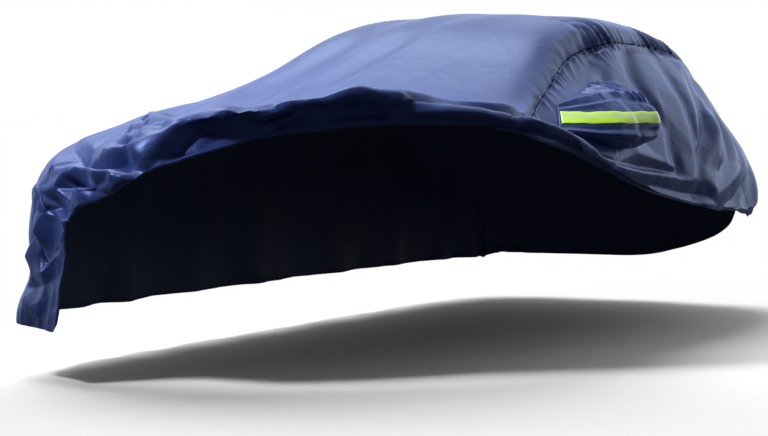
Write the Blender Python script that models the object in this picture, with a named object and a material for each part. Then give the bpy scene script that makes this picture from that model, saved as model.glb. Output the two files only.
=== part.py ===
"""Fitted weather cover, drawn up over its front and along its left side.

The cover is three cut panels of coated polyester (a top panel and two side panels), two sewn
mirror pouches and a reflective strip across each pouch. It is modelled as it lies: full length
down the right side and the tail, gathered in a thick roll across the front and in a swag along
the left side.

Sizes are in metres. Lengths (y) grow from the nose to the tail, heights (z) start at the ground,
and +x is the cover's left. CROWN, just under the middle of the top, is where the cover is held,
and it is the origin of the finished part.

A place on the cover is a section (0 at the nose, 16 at the tail) and a column (0 on the spine,
counted outwards, negative on the right side).
"""

from collections import namedtuple

import bpy
import numpy as np

# Cloth and seams
CLOTH = 0.003
SEAM_GAP = 0.0008
SEAM_END_GAP = 0.004
SEAM_END_ROWS = 14
STRIP_THICK = 0.0015
STRIP_GAP = 0.0005
POUCH_STANDOFF = 0.010

# Where the cover is held
CROWN = (0.0, 1.75, 1.445)

# Cross sections of the fitted form, nose to tail. Each names the spine's place and height, then
# half-width and height of the rail (the edge of the top), of the shoulder and of the waist, how
# far the waist lies behind the spine, and the height of the full-length hem.
Section = namedtuple(
    "Section", "spine_y spine_z rail_x rail_z shoulder_x shoulder_z waist_x waist_z lag hem_z"
)
SECTIONS = [
    Section(-0.875, 0.60, 0.36, 0.585, 0.46, 0.54, 0.50, 0.42, 0.07, 0.20),
    Section(-0.865, 0.70, 0.46, 0.68, 0.62, 0.63, 0.69, 0.50, 0.17, 0.205),
    Section(-0.80, 0.80, 0.53, 0.78, 0.70, 0.72, 0.80, 0.57, 0.19, 0.21),
    Section(-0.58, 0.885, 0.58, 0.865, 0.765, 0.80, 0.865, 0.67, 0.13, 0.22),
    Section(-0.20, 0.955, 0.62, 0.935, 0.80, 0.88, 0.91, 0.76, 0.06, 0.22),
    Section(0.20, 1.03, 0.65, 0.995, 0.80, 0.93, 0.92, 0.81, 0.00, 0.22),
    Section(0.50, 1.10, 0.65, 1.06, 0.78, 0.99, 0.92, 0.86, 0.00, 0.22),
    Section(0.85, 1.22, 0.60, 1.18, 0.73, 1.08, 0.91, 0.90, 0.00, 0.22),
    Section(1.25, 1.38, 0.54, 1.34, 0.66, 1.21, 0.90, 0.93, 0.00, 0.22),
    Section(1.70, 1.45, 0.54, 1.41, 0.65, 1.28, 0.90, 0.95, 0.00, 0.22),
    Section(2.20, 1.44, 0.53, 1.40, 0.645, 1.28, 0.89, 0.95, 0.00, 0.22),
    Section(2.65, 1.39, 0.50, 1.35, 0.635, 1.245, 0.875, 0.89, -0.02, 0.22),
    Section(2.98, 1.28, 0.49, 1.235, 0.60, 1.14, 0.84, 0.79, -0.07, 0.22),
    Section(3.25, 1.04, 0.51, 1.01, 0.63, 0.94, 0.80, 0.69, -0.12, 0.22),
    Section(3.42, 0.76, 0.54, 0.74, 0.66, 0.70, 0.76, 0.55, -0.16, 0.22),
    Section(3.47, 0.45, 0.56, 0.45, 0.69, 0.44, 0.75, 0.38, -0.15, 0.22),
    Section(3.46, 0.24, 0.56, 0.24, 0.69, 0.24, 0.74, 0.23, -0.13, 0.21),
]
TAIL = len(SECTIONS) - 1
TAIL_LEFT = 14.6
LEFT_CORNER = 5.45

# Columns of the form, counted outwards from the spine
HEM = 6
SEAM = 2.85

# The raised hem, from the right front corner to the tail's left corner: the section and column
# it crosses, how high its roll stands off the form, how far back from the edge the roll's face
# starts, how far its crest hangs over the edge and how deep its face is hollowed.
Edge = namedtuple("Edge", "section column rise setback overhang hollow")
RAISED_HEM = [
    Edge(0.00, -3.40, 0.000, 0.02, 0.00, 0.000),
    Edge(0.28, -2.66, 0.020, 0.05, -0.03, 0.000),
    Edge(0.72, -1.94, 0.040, 0.09, -0.06, 0.000),
    Edge(1.10, -1.10, 0.060, 0.16, -0.12, 0.010),
    Edge(1.68, -0.56, 0.080, 0.20, -0.15, 0.015),
    Edge(2.25, -0.08, 0.100, 0.20, -0.12, 0.030),
    Edge(2.80, 0.34, 0.120, 0.15, -0.02, 0.040),
    Edge(3.29, 0.68, 0.115, 0.11, 0.02, 0.010),
    Edge(3.80, 1.35, 0.125, 0.11, 0.04, 0.005),
    Edge(4.10, 1.80, 0.100, 0.11, 0.00, 0.005),
    Edge(4.60, 2.60, 0.080, 0.11, -0.05, 0.000),
    Edge(4.97, 3.17, 0.070, 0.11, -0.05, 0.000),
    Edge(5.45, 3.76, 0.055, 0.10, -0.03, 0.000),
    Edge(6.50, 4.23, 0.045, 0.09, 0.00, 0.000),
    Edge(7.80, 4.62, 0.045, 0.09, 0.00, 0.000),
    Edge(9.20, 4.94, 0.055, 0.13, 0.00, 0.000),
    Edge(10.5, 5.08, 0.060, 0.18, 0.00, 0.000),
    Edge(12.0, 5.00, 0.045, 0.18, -0.08, 0.000),
    Edge(13.0, 4.86, 0.020, 0.10, -0.08, 0.000),
    Edge(14.0, 4.42, 0.005, 0.05, -0.04, 0.000),
    Edge(14.6, 3.85, 0.000, 0.02, 0.00, 0.000),
]

# Long folds: start, middle and end (section, column), height (a trough is negative) and the
# half-width at the start and at the end.
Fold = namedtuple("Fold", "start middle end height start_width end_width")
FOLDS = [
    # slack cloth over the front right shoulder
    Fold((1.8, -2.6), (3.4, -2.3), (5.6, -2.3), 0.032, 0.16, 0.26),
    # the deep crease where the hanging corner meets the roll, and the folds below it
    Fold((1.6, -1.7), (1.0, -2.5), (0.3, -3.4), -0.045, 0.10, 0.08),
    Fold((1.8, -2.6), (1.0, -3.9), (0.5, -5.6), 0.026, 0.09, 0.08),
    Fold((0.3, -4.0), (1.2, -4.7), (2.4, -4.9), -0.030, 0.07, 0.09),
    Fold((2.4, -5.6), (1.5, -5.8), (0.5, -5.9), 0.028, 0.12, 0.10),
    # tension folds from the roll up the slope of the top
    Fold((3.6, -1.0), (6.2, -1.7), (9.0, -1.4), 0.016, 0.05, 0.10),
    Fold((3.9, -0.4), (6.4, -0.9), (9.4, -0.3), 0.016, 0.05, 0.11),
    Fold((4.1, 0.2), (6.5, 0.0), (9.0, 0.7), 0.013, 0.06, 0.11),
    Fold((3.0, -1.6), (4.6, -2.0), (6.6, -2.4), 0.018, 0.05, 0.09),
    # peaks of the roll
    Fold((2.5, -1.0), (2.9, -0.9), (3.4, -1.2), 0.030, 0.07, 0.06),
    Fold((3.9, 1.2), (4.4, 0.9), (5.4, 0.6), 0.028, 0.07, 0.08),
    # the gap and the tongue under the left end of the roll
    Fold((4.7, 1.8), (5.5, 2.9), (6.4, 3.4), -0.022, 0.045, 0.045),
    Fold((4.5, 2.2), (5.4, 3.4), (7.6, 4.22), 0.024, 0.05, 0.06),
    # drawn folds of the left side
    Fold((8.7, 2.95), (8.3, 3.3), (8.0, 3.6), -0.022, 0.04, 0.06),
    Fold((9.4, 3.0), (9.0, 3.5), (9.0, 4.3), -0.022, 0.04, 0.05),
    Fold((9.9, 3.2), (9.6, 4.0), (9.35, 4.6), -0.020, 0.06, 0.04),
    Fold((10.6, 3.1), (10.2, 3.9), (9.6, 4.6), 0.026, 0.06, 0.05),
    Fold((11.3, 3.3), (10.9, 4.2), (9.9, 4.7), -0.022, 0.07, 0.05),
    Fold((12.0, 3.6), (11.5, 4.6), (9.9, 5.0), 0.024, 0.07, 0.05),
    Fold((12.8, 4.0), (11.8, 4.95), (10.2, 5.08), -0.020, 0.06, 0.04),
    # loose hanging folds of the right side and the tail
    Fold((3.2, -4.0), (3.3, -5.0), (3.4, -6.0), 0.018, 0.06, 0.10),
    Fold((4.9, -4.2), (4.9, -5.1), (5.0, -6.0), -0.018, 0.06, 0.10),
    Fold((6.3, -4.4), (6.3, -5.2), (6.2, -6.0), 0.020, 0.07, 0.11),
    Fold((8.0, -4.1), (7.9, -5.0), (7.8, -6.0), -0.016, 0.06, 0.10),
    Fold((9.2, -4.2), (9.2, -5.1), (9.1, -6.0), 0.019, 0.07, 0.12),
    Fold((10.6, -4.1), (10.7, -5.0), (10.8, -6.0), -0.017, 0.06, 0.10),
    Fold((12.0, -4.0), (12.0, -5.0), (12.1, -6.0), 0.020, 0.07, 0.11),
    Fold((13.0, -1.7), (14.4, -1.8), (16.0, -1.9), 0.014, 0.07, 0.12),
    Fold((13.2, 0.3), (14.6, 0.2), (16.0, 0.2), -0.012, 0.07, 0.12),
    Fold((13.0, 1.9), (14.3, 2.0), (15.5, 2.2), 0.014, 0.07, 0.10),
]

# The mirror pouches, from the front end to the rear end: the ends of each rib on the side panel
# (section and column, above and below) and how far the pouch stands out there.
Rib = namedtuple("Rib", "upper_section upper lower_section lower depth")
POUCH = [
    Rib(6.60, 3.38, 6.26, 3.64, 0.012),
    Rib(6.98, 3.28, 6.70, 3.82, 0.070),
    Rib(7.25, 3.26, 7.05, 3.94, 0.125),
    Rib(7.52, 3.26, 7.40, 4.02, 0.165),
    Rib(7.76, 3.30, 7.70, 4.04, 0.180),
    Rib(7.96, 3.36, 7.94, 4.00, 0.150),
    Rib(8.08, 3.46, 8.10, 3.86, 0.030),
]
POUCH_SWEEP = -0.12
POUCH_LIFT = 0.12
POUCH_STEPS = 13
POUCH_BANDS = (3, 2, 3)
STRIP_TOP = 1.000
STRIP_FOOT = 0.953
STRIP_REACH = (0, 12)

# The opening behind each pouch, in rows (by section) and columns (by share of the panel)
POUCH_MOUTH = (6.95, 7.75)
MOUTH_LEFT = (3.32, 3.90)
MOUTH_RIGHT = (3.30, 3.90)


def spline(rows, at):
    """Points on the smooth curve through rows, where at counts rows from 0."""
    rows = np.asarray(rows, float)
    slopes = np.gradient(rows, axis=0)
    at = np.clip(np.asarray(at, float), 0, len(rows) - 1)
    k = np.minimum(at.astype(int), len(rows) - 2)
    f = (at - k).reshape(at.shape + (1,) * (rows.ndim - 1))
    return (
        (2 * f**3 - 3 * f**2 + 1) * rows[k]
        + (f**3 - 2 * f**2 + f) * slopes[k]
        + (3 * f**2 - 2 * f**3) * rows[k + 1]
        + (f**3 - f**2) * slopes[k + 1]
    )


def half_section(section, side):
    """The seven control points of one side of a section, from the spine to the full hem."""
    across = [
        (0.0, 0.0, section.spine_z),
        (section.rail_x / 2, 0.12, section.spine_z - 0.28 * (section.spine_z - section.rail_z)),
        (section.rail_x, 0.42, section.rail_z),
        (section.shoulder_x, 0.72, section.shoulder_z),
        (section.waist_x, 1.0, section.waist_z),
        (section.waist_x + 0.015, 1.0, (section.waist_z + section.hem_z) / 2),
        (section.waist_x + 0.03, 1.0, section.hem_z),
    ]
    return [(side * x, section.spine_y + share * section.lag, z) for x, share, z in across]


NET = np.array([half_section(s, -1)[:0:-1] + half_section(s, 1) for s in SECTIONS])


def form(section, column):
    """Points of the smooth form that the cloth follows."""
    section, column = np.broadcast_arrays(section, column)
    rows = spline(NET, section.ravel())
    slopes = np.gradient(rows, axis=1)
    at = np.clip(column.ravel() + HEM, 0, 2 * HEM)
    k = np.minimum(at.astype(int), 2 * HEM - 1)
    f = (at - k)[:, None]
    i = np.arange(len(k))
    points = (
        (2 * f**3 - 3 * f**2 + 1) * rows[i, k]
        + (f**3 - 2 * f**2 + f) * slopes[i, k]
        + (3 * f**2 - 2 * f**3) * rows[i, k + 1]
        + (f**3 - f**2) * slopes[i, k + 1]
    )
    return points.reshape(section.shape + (3,))


def unit(vectors):
    return vectors / np.maximum(np.linalg.norm(vectors, axis=-1, keepdims=True), 1e-12)


def outward(surface, section, column, step=0.02):
    """Unit normals of a surface, away from the hollow."""
    along = surface(section + step, column) - surface(section - step, column)
    across = surface(section, column + step) - surface(section, column - step)
    return unit(np.cross(across, along))


def nearest(points, line):
    """For each point, the distance to the nearest point of a line and that point's number."""
    flat = points.reshape(-1, 3)
    gaps = np.linalg.norm(flat[:, None] - line[None], axis=-1)
    index = gaps.argmin(axis=1)
    distance = gaps[np.arange(len(flat)), index]
    return distance.reshape(points.shape[:-1]), index.reshape(points.shape[:-1])


EDGE_STEPS = 480
ROLL_BACK = 2.0
ROLL_FADE = 28
EDGE = Edge(*spline(RAISED_HEM, np.linspace(0, len(RAISED_HEM) - 1, EDGE_STEPS)).T)
EDGE_LINE = form(EDGE.section, EDGE.column)
EDGE_ALONG = unit(np.gradient(EDGE_LINE, axis=0))
EDGE_OUT = unit(np.cross(EDGE_ALONG, outward(form, EDGE.section, EDGE.column)))


def from_edge(points):
    """How far points lie inside the raised hem, and the number of the hem's nearest point."""
    _, index = nearest(points, EDGE_LINE)
    offset = points - EDGE_LINE[index]
    along = np.sum(offset * EDGE_ALONG[index], axis=-1)
    across = np.sqrt(np.maximum(np.sum(offset**2, axis=-1) - along**2, 0))
    return np.where(np.sum(offset * EDGE_OUT[index], axis=-1) > 0, -across, across), index


def roll(points, normals):
    """How the roll along the raised hem moves the form: up its steep face to the crest, then
    down a long back."""
    distance, index = from_edge(points)
    steps = distance / EDGE.setback[index]
    face = np.clip(steps, -1, 1)
    fade = np.clip(np.minimum(index, EDGE_STEPS - 1 - index) / ROLL_FADE, 0, 1)
    back = fade * np.exp(-((np.maximum(abs(steps) - 1, 0) / ROLL_BACK) ** 2))
    lift = EDGE.rise[index] * (0.1 + 0.9 * np.sin(np.pi / 2 * face)) * back
    reach = (EDGE.setback[index] * face + EDGE.overhang[index] * face * abs(face)) * back
    reach -= EDGE.hollow[index] * np.sin(np.pi * face) * fade
    return normals * lift[..., None] + EDGE_OUT[index] * reach[..., None]


def fold_height(points, fold):
    """The height of one long fold over the points of the form."""
    along = np.linspace(0, 2, 33)
    section, column = spline([fold.start, fold.middle, fold.end], along).T
    distance, index = nearest(points, form(section, column))
    share = index / (len(along) - 1)
    width = fold.start_width + (fold.end_width - fold.start_width) * share
    ends = np.sin(np.pi * (0.04 + 0.92 * share)) ** 0.6
    return fold.height * ends * np.exp(-((distance / width) ** 2))


def cover(section, column):
    """Points of the cloth's middle surface."""
    points = form(section, column)
    normals = outward(form, section, column)
    heights = sum(fold_height(points, fold) for fold in FOLDS)
    return points + normals * heights[..., None] + roll(points, normals)


def front_section(column):
    """The section at which a column meets the front edge."""
    return np.interp(column, EDGE.column, EDGE.section)


def left_column(section):
    """The column at which a section of the left side meets the raised hem."""
    return np.interp(section, EDGE.section, EDGE.column)


def spaced(count, fine, ratio):
    """Shares from 0 to 1: the first fine steps are ratio times the others."""
    steps = np.ones(count)
    steps[:fine] = ratio
    return np.concatenate([[0], np.cumsum(steps)]) / steps.sum()


ALONG = spaced(58, 12, 0.40)


def top_grid():
    column = np.linspace(-SEAM, SEAM, 33)
    front = front_section(column)
    rear = TAIL - (TAIL - TAIL_LEFT) * np.clip(column / SEAM, 0, 1) ** 2
    section = front + ALONG[:, None] * (rear - front)
    return section, np.broadcast_to(column, section.shape)


def right_grid():
    column = -HEM + (HEM - SEAM) * np.linspace(0, 1, 14)
    front = front_section(column)
    section = front + ALONG[:, None] * (TAIL - front)
    return section, np.broadcast_to(column, section.shape)


def left_grid():
    share = 1 - spaced(13, 4, 0.5)[::-1]
    front = front_section(SEAM + (left_column(LEFT_CORNER) - SEAM) * share)
    section = front + ALONG[:, None] * (TAIL_LEFT - front)
    hem = left_column(section[:, -1])[:, None]
    return section, SEAM + (hem - SEAM) * share


def mouth(section, column, reach):
    """The cells left out behind a pouch: a block of whole rows and columns."""
    middle = section.shape[1] // 2
    rows = np.flatnonzero(
        (section[:-1, middle] > POUCH_MOUTH[0]) & (section[1:, middle] < POUCH_MOUTH[1])
    )
    row = rows[len(rows) // 2]
    low, high = np.sort([np.abs(column[row, :-1]), np.abs(column[row, 1:])], axis=0)
    columns = np.flatnonzero((low > reach[0]) & (high < reach[1]))
    cut = np.zeros((section.shape[0] - 1, section.shape[1] - 1), bool)
    cut[np.ix_(rows, columns)] = True
    return cut


def seam_inset(points, side):
    """Draws the edge of a panel that lies on a seam back by half the gap, which is widest at
    the front edge."""
    edge, beside = (points[:, -1], points[:, -2]) if side > 0 else (points[:, 0], points[:, 1])
    gap = np.interp(np.arange(len(edge)), (0, SEAM_END_ROWS), (SEAM_END_GAP, SEAM_GAP))
    edge += unit(beside - edge) * gap[:, None] / 2


def pouch_ribs(side):
    """Cross sections of a pouch, from its front end to its rear end, as dense curves."""
    ribs = Rib(*spline(POUCH, np.linspace(0, len(POUCH) - 1, POUCH_STEPS + 1)).T[:, :, None])
    turn = np.linspace(0, np.pi, 91)
    share = (1 - np.cos(turn)) / 2
    section = ribs.upper_section + (ribs.lower_section - ribs.upper_section) * share
    column = side * (ribs.upper + (ribs.lower - ribs.upper) * share)
    base = cover(section, column) + outward(cover, section, column) * POUCH_STANDOFF
    bulge = (ribs.depth * np.sin(turn) ** 0.75)[..., None]
    return base + bulge * np.array([side, POUCH_SWEEP, POUCH_LIFT])


def pouch_grid(side):
    """A pouch's grid, whose middle band runs level and carries the strip."""
    rows = []
    for rib in pouch_ribs(side):
        number = np.arange(len(rib))
        front = max(int(np.argmax(rib[:, 2])), 1)
        top = np.interp(-STRIP_TOP, -rib[front:, 2], number[front:])
        foot = np.interp(-STRIP_FOOT, -rib[front:, 2], number[front:])
        stops = (0, top, foot, len(rib) - 1)
        at = [
            np.linspace(stops[i], stops[i + 1], count, endpoint=False)
            for i, count in enumerate(POUCH_BANDS)
        ]
        at = np.concatenate(at + [[stops[-1]]])
        rows.append(np.stack([np.interp(at, number, rib[:, k]) for k in range(3)], -1))
    points = np.array(rows)
    along = np.gradient(points, axis=0)
    across = np.gradient(points, axis=1)
    return points, unit(np.cross(across, along)) * side


def shell(name, points, normals, thickness, material, cut=None):
    """A closed sheet of even thickness over a grid of points, less the cells that cut marks."""
    rows, columns = points.shape[:2]
    half = normals * thickness / 2
    shifted = [points + half - CROWN, points - half - CROWN]
    vertices = np.concatenate([s.reshape(-1, 3) for s in shifted])
    number = np.arange(rows * columns).reshape(rows, columns)
    a, b, c, d = number[:-1, :-1], number[1:, :-1], number[1:, 1:], number[:-1, 1:]
    cells = np.stack([a, c, b, a, d, c], -1)
    if cut is not None:
        cells = cells[~cut]
    cells = cells.reshape(-1, 3)
    facing = np.cross(points[1:, 1:] - points[:-1, :-1], points[:-1, 1:] - points[1:, :-1])
    if np.sum(facing * normals[1:, 1:]) > 0:
        cells = cells[:, ::-1]
    ends = np.concatenate([cells[:, [0, 1]], cells[:, [1, 2]], cells[:, [2, 0]]])
    known = {tuple(end) for end in ends.tolist()}
    rim = [end for end in ends.tolist() if (end[1], end[0]) not in known]
    under = rows * columns
    walls = [(j, i, under + i) for i, j in rim] + [(j, under + i, under + j) for i, j in rim]
    faces = np.array(cells.tolist() + (cells[:, ::-1] + under).tolist() + walls)
    used, faces = np.unique(faces, return_inverse=True)
    mesh = bpy.data.meshes.new(name)
    mesh.from_pydata(vertices[used].tolist(), [], faces.reshape(-1, 3).tolist())
    mesh.shade_smooth()
    mesh.set_sharp_from_angle(angle=1.0)
    mesh.materials.append(material)
    obj = bpy.data.objects.new(name, mesh)
    bpy.context.scene.collection.objects.link(obj)
    return obj


def finish(name, colour, roughness, metallic=0.0):
    material = bpy.data.materials.new(name)
    material.use_nodes = True
    shader = material.node_tree.nodes["Principled BSDF"]
    shader.inputs["Base Color"].default_value = (*colour, 1.0)
    shader.inputs["Roughness"].default_value = roughness
    shader.inputs["Metallic"].default_value = metallic
    return material


def main():
    for old in list(bpy.data.objects):
        bpy.data.objects.remove(old, do_unlink=True)
    cloth = finish("coated_polyester", (0.045, 0.075, 0.24), 0.45)
    strip = finish("reflective_tape", (0.42, 0.85, 0.04), 0.35)
    panels = {
        "top_panel": (top_grid(), (-1, 1), None),
        "right_side_panel": (right_grid(), (1,), MOUTH_RIGHT),
        "left_side_panel": (left_grid(), (-1,), MOUTH_LEFT),
    }
    for name, ((section, column), seams, reach) in panels.items():
        points = cover(section, column)
        for side in seams:
            seam_inset(points, side)
        cut = mouth(section, column, reach) if reach else None
        shell(name, points, outward(cover, section, column), CLOTH, cloth, cut)
    for name, side in (("left", 1), ("right", -1)):
        points, normals = pouch_grid(side)
        shell(f"{name}_mirror_pouch", points, normals, CLOTH, cloth)
        band = slice(POUCH_BANDS[0], POUCH_BANDS[0] + POUCH_BANDS[1] + 1)
        reach = slice(*STRIP_REACH)
        stand = (CLOTH + STRIP_THICK) / 2 + STRIP_GAP
        tape = (points + normals * stand)[reach, band]
        shell(f"{name}_reflective_strip", tape, normals[reach, band], STRIP_THICK, strip)


main()
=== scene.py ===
"""Fitted weather cover of coated polyester taffeta, drawn up across its front and left side.

The cover is a top panel and two side panels, two ruched mirror pouches and a reflective strip on
each pouch. Every panel is one grid of cloth over the same form: long folds, small creases, seam
gathers and crumples are heights on that form, and each hem turns under and is stitched.

A place on the form is a section, from 0 at the nose to 16 at the tail, and a column, counted from
the middle of the top outwards and negative on the right side. Working lengths are metres from the
ground up, as in the tables, and CROWN takes them to the part.
"""

import logging
import math
from dataclasses import dataclass, field, replace
from enum import Enum
from typing import NamedTuple, Optional, Union

import bpy
import numpy as np
from mathutils import Euler, Matrix, Vector, geometry, noise


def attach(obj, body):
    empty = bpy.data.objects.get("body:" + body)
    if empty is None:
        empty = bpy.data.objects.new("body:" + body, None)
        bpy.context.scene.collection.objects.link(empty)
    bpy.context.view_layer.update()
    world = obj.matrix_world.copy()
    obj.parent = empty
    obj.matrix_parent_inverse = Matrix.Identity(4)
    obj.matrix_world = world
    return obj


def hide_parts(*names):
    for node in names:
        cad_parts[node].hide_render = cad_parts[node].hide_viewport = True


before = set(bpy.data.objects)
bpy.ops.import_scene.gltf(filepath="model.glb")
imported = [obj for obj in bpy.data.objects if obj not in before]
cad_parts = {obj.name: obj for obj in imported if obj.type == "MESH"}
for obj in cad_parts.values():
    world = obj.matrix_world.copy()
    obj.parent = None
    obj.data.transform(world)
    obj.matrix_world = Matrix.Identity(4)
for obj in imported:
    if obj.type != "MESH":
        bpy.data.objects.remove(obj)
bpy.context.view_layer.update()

LOG = logging.getLogger("cover")
Array = np.ndarray
Setting = Union[bpy.types.NodeSocket, float, tuple]

# the part's origin in working lengths, just under the middle of the top
CROWN = np.array((0.0, 1.75, 1.445))

# sections: the tail, where the left side ends, and where its hem leaves the front edge
TAIL = 16
TAIL_LEFT = 14.6
LEFT_CORNER = 5.45

# columns: the full hem, the seams of the top, and how far the top laps the sides
HEM = 6
SEAM = 2.85
SEAM_LAP = 0.03

# the opening under each pouch: first and last section, and first and last column
MOUTH_SECTIONS = (7.08, 7.75)
MOUTH_COLUMNS = (3.36, 3.84)

# hems: the radius of their turn, the rows of cloth in it, and how far in their stitches are
HEM_RADIUS = 0.005
HEM_ROWS = 5
STITCH_INSET = 0.022

# how many points are measured against a line at once, to spare memory
POINTS_AT_ONCE = 8000


class Section(NamedTuple):
    """A cross section of the form: its spine, rail, shoulder and waist, and the full hem."""

    spine_y: float
    spine_z: float
    rail_x: float
    rail_z: float
    shoulder_x: float
    shoulder_z: float
    waist_x: float
    waist_z: float
    lag: float
    hem_z: float


SECTIONS = [
    Section(-0.875, 0.60, 0.36, 0.585, 0.46, 0.54, 0.50, 0.42, 0.07, 0.20),
    Section(-0.865, 0.70, 0.46, 0.68, 0.62, 0.63, 0.69, 0.50, 0.17, 0.205),
    Section(-0.80, 0.80, 0.53, 0.78, 0.70, 0.72, 0.80, 0.57, 0.19, 0.21),
    Section(-0.58, 0.885, 0.58, 0.865, 0.765, 0.80, 0.865, 0.67, 0.13, 0.22),
    Section(-0.20, 0.955, 0.62, 0.935, 0.80, 0.88, 0.91, 0.76, 0.06, 0.22),
    Section(0.20, 1.03, 0.65, 0.995, 0.80, 0.93, 0.92, 0.81, 0.00, 0.22),
    Section(0.50, 1.10, 0.65, 1.06, 0.78, 0.99, 0.92, 0.86, 0.00, 0.22),
    Section(0.85, 1.22, 0.60, 1.18, 0.73, 1.08, 0.91, 0.90, 0.00, 0.22),
    Section(1.25, 1.38, 0.54, 1.34, 0.66, 1.21, 0.90, 0.93, 0.00, 0.22),
    Section(1.70, 1.45, 0.54, 1.41, 0.65, 1.28, 0.90, 0.95, 0.00, 0.22),
    Section(2.20, 1.44, 0.53, 1.40, 0.645, 1.28, 0.89, 0.95, 0.00, 0.22),
    Section(2.65, 1.39, 0.50, 1.35, 0.635, 1.245, 0.875, 0.89, -0.02, 0.22),
    Section(2.98, 1.28, 0.49, 1.235, 0.60, 1.14, 0.84, 0.79, -0.07, 0.22),
    Section(3.25, 1.04, 0.51, 1.01, 0.63, 0.94, 0.80, 0.69, -0.12, 0.22),
    Section(3.42, 0.76, 0.54, 0.74, 0.66, 0.70, 0.76, 0.55, -0.16, 0.22),
    Section(3.47, 0.45, 0.56, 0.45, 0.69, 0.44, 0.75, 0.38, -0.15, 0.22),
    Section(3.46, 0.24, 0.56, 0.24, 0.69, 0.24, 0.74, 0.23, -0.13, 0.21),
]


class Edge(NamedTuple):
    """A place on the raised hem and the shape of its roll there."""

    section: float
    column: float
    rise: float
    setback: float
    overhang: float
    hollow: float


RAISED_HEM = [
    Edge(0.00, -3.40, 0.000, 0.02, 0.00, 0.000),
    Edge(0.28, -2.66, 0.020, 0.05, -0.03, 0.000),
    Edge(0.72, -1.94, 0.040, 0.09, -0.06, 0.000),
    Edge(1.10, -1.10, 0.060, 0.16, -0.12, 0.010),
    Edge(1.68, -0.56, 0.080, 0.20, -0.15, 0.015),
    Edge(2.25, -0.08, 0.100, 0.20, -0.12, 0.030),
    Edge(2.80, 0.34, 0.120, 0.15, -0.02, 0.040),
    Edge(3.29, 0.68, 0.115, 0.11, 0.02, 0.010),
    Edge(3.80, 1.35, 0.125, 0.11, 0.04, 0.005),
    Edge(4.10, 1.80, 0.100, 0.11, 0.00, 0.005),
    Edge(4.60, 2.60, 0.080, 0.11, -0.05, 0.000),
    Edge(4.97, 3.17, 0.070, 0.11, -0.05, 0.000),
    Edge(5.45, 3.76, 0.055, 0.10, -0.03, 0.000),
    Edge(6.50, 4.23, 0.045, 0.09, 0.00, 0.000),
    Edge(7.80, 4.62, 0.045, 0.09, 0.00, 0.000),
    Edge(9.20, 4.94, 0.055, 0.13, 0.00, 0.000),
    Edge(10.5, 5.08, 0.060, 0.18, 0.00, 0.000),
    Edge(12.0, 5.00, 0.045, 0.18, -0.08, 0.000),
    Edge(13.0, 4.86, 0.020, 0.10, -0.08, 0.000),
    Edge(14.0, 4.42, 0.005, 0.05, -0.04, 0.000),
    Edge(14.6, 3.85, 0.000, 0.02, 0.00, 0.000),
]


class Fold(NamedTuple):
    """A fold from start through middle to end, as places; a trough's height is less than 0."""

    start: tuple
    middle: tuple
    end: tuple
    height: float
    start_width: float
    end_width: float


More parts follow.
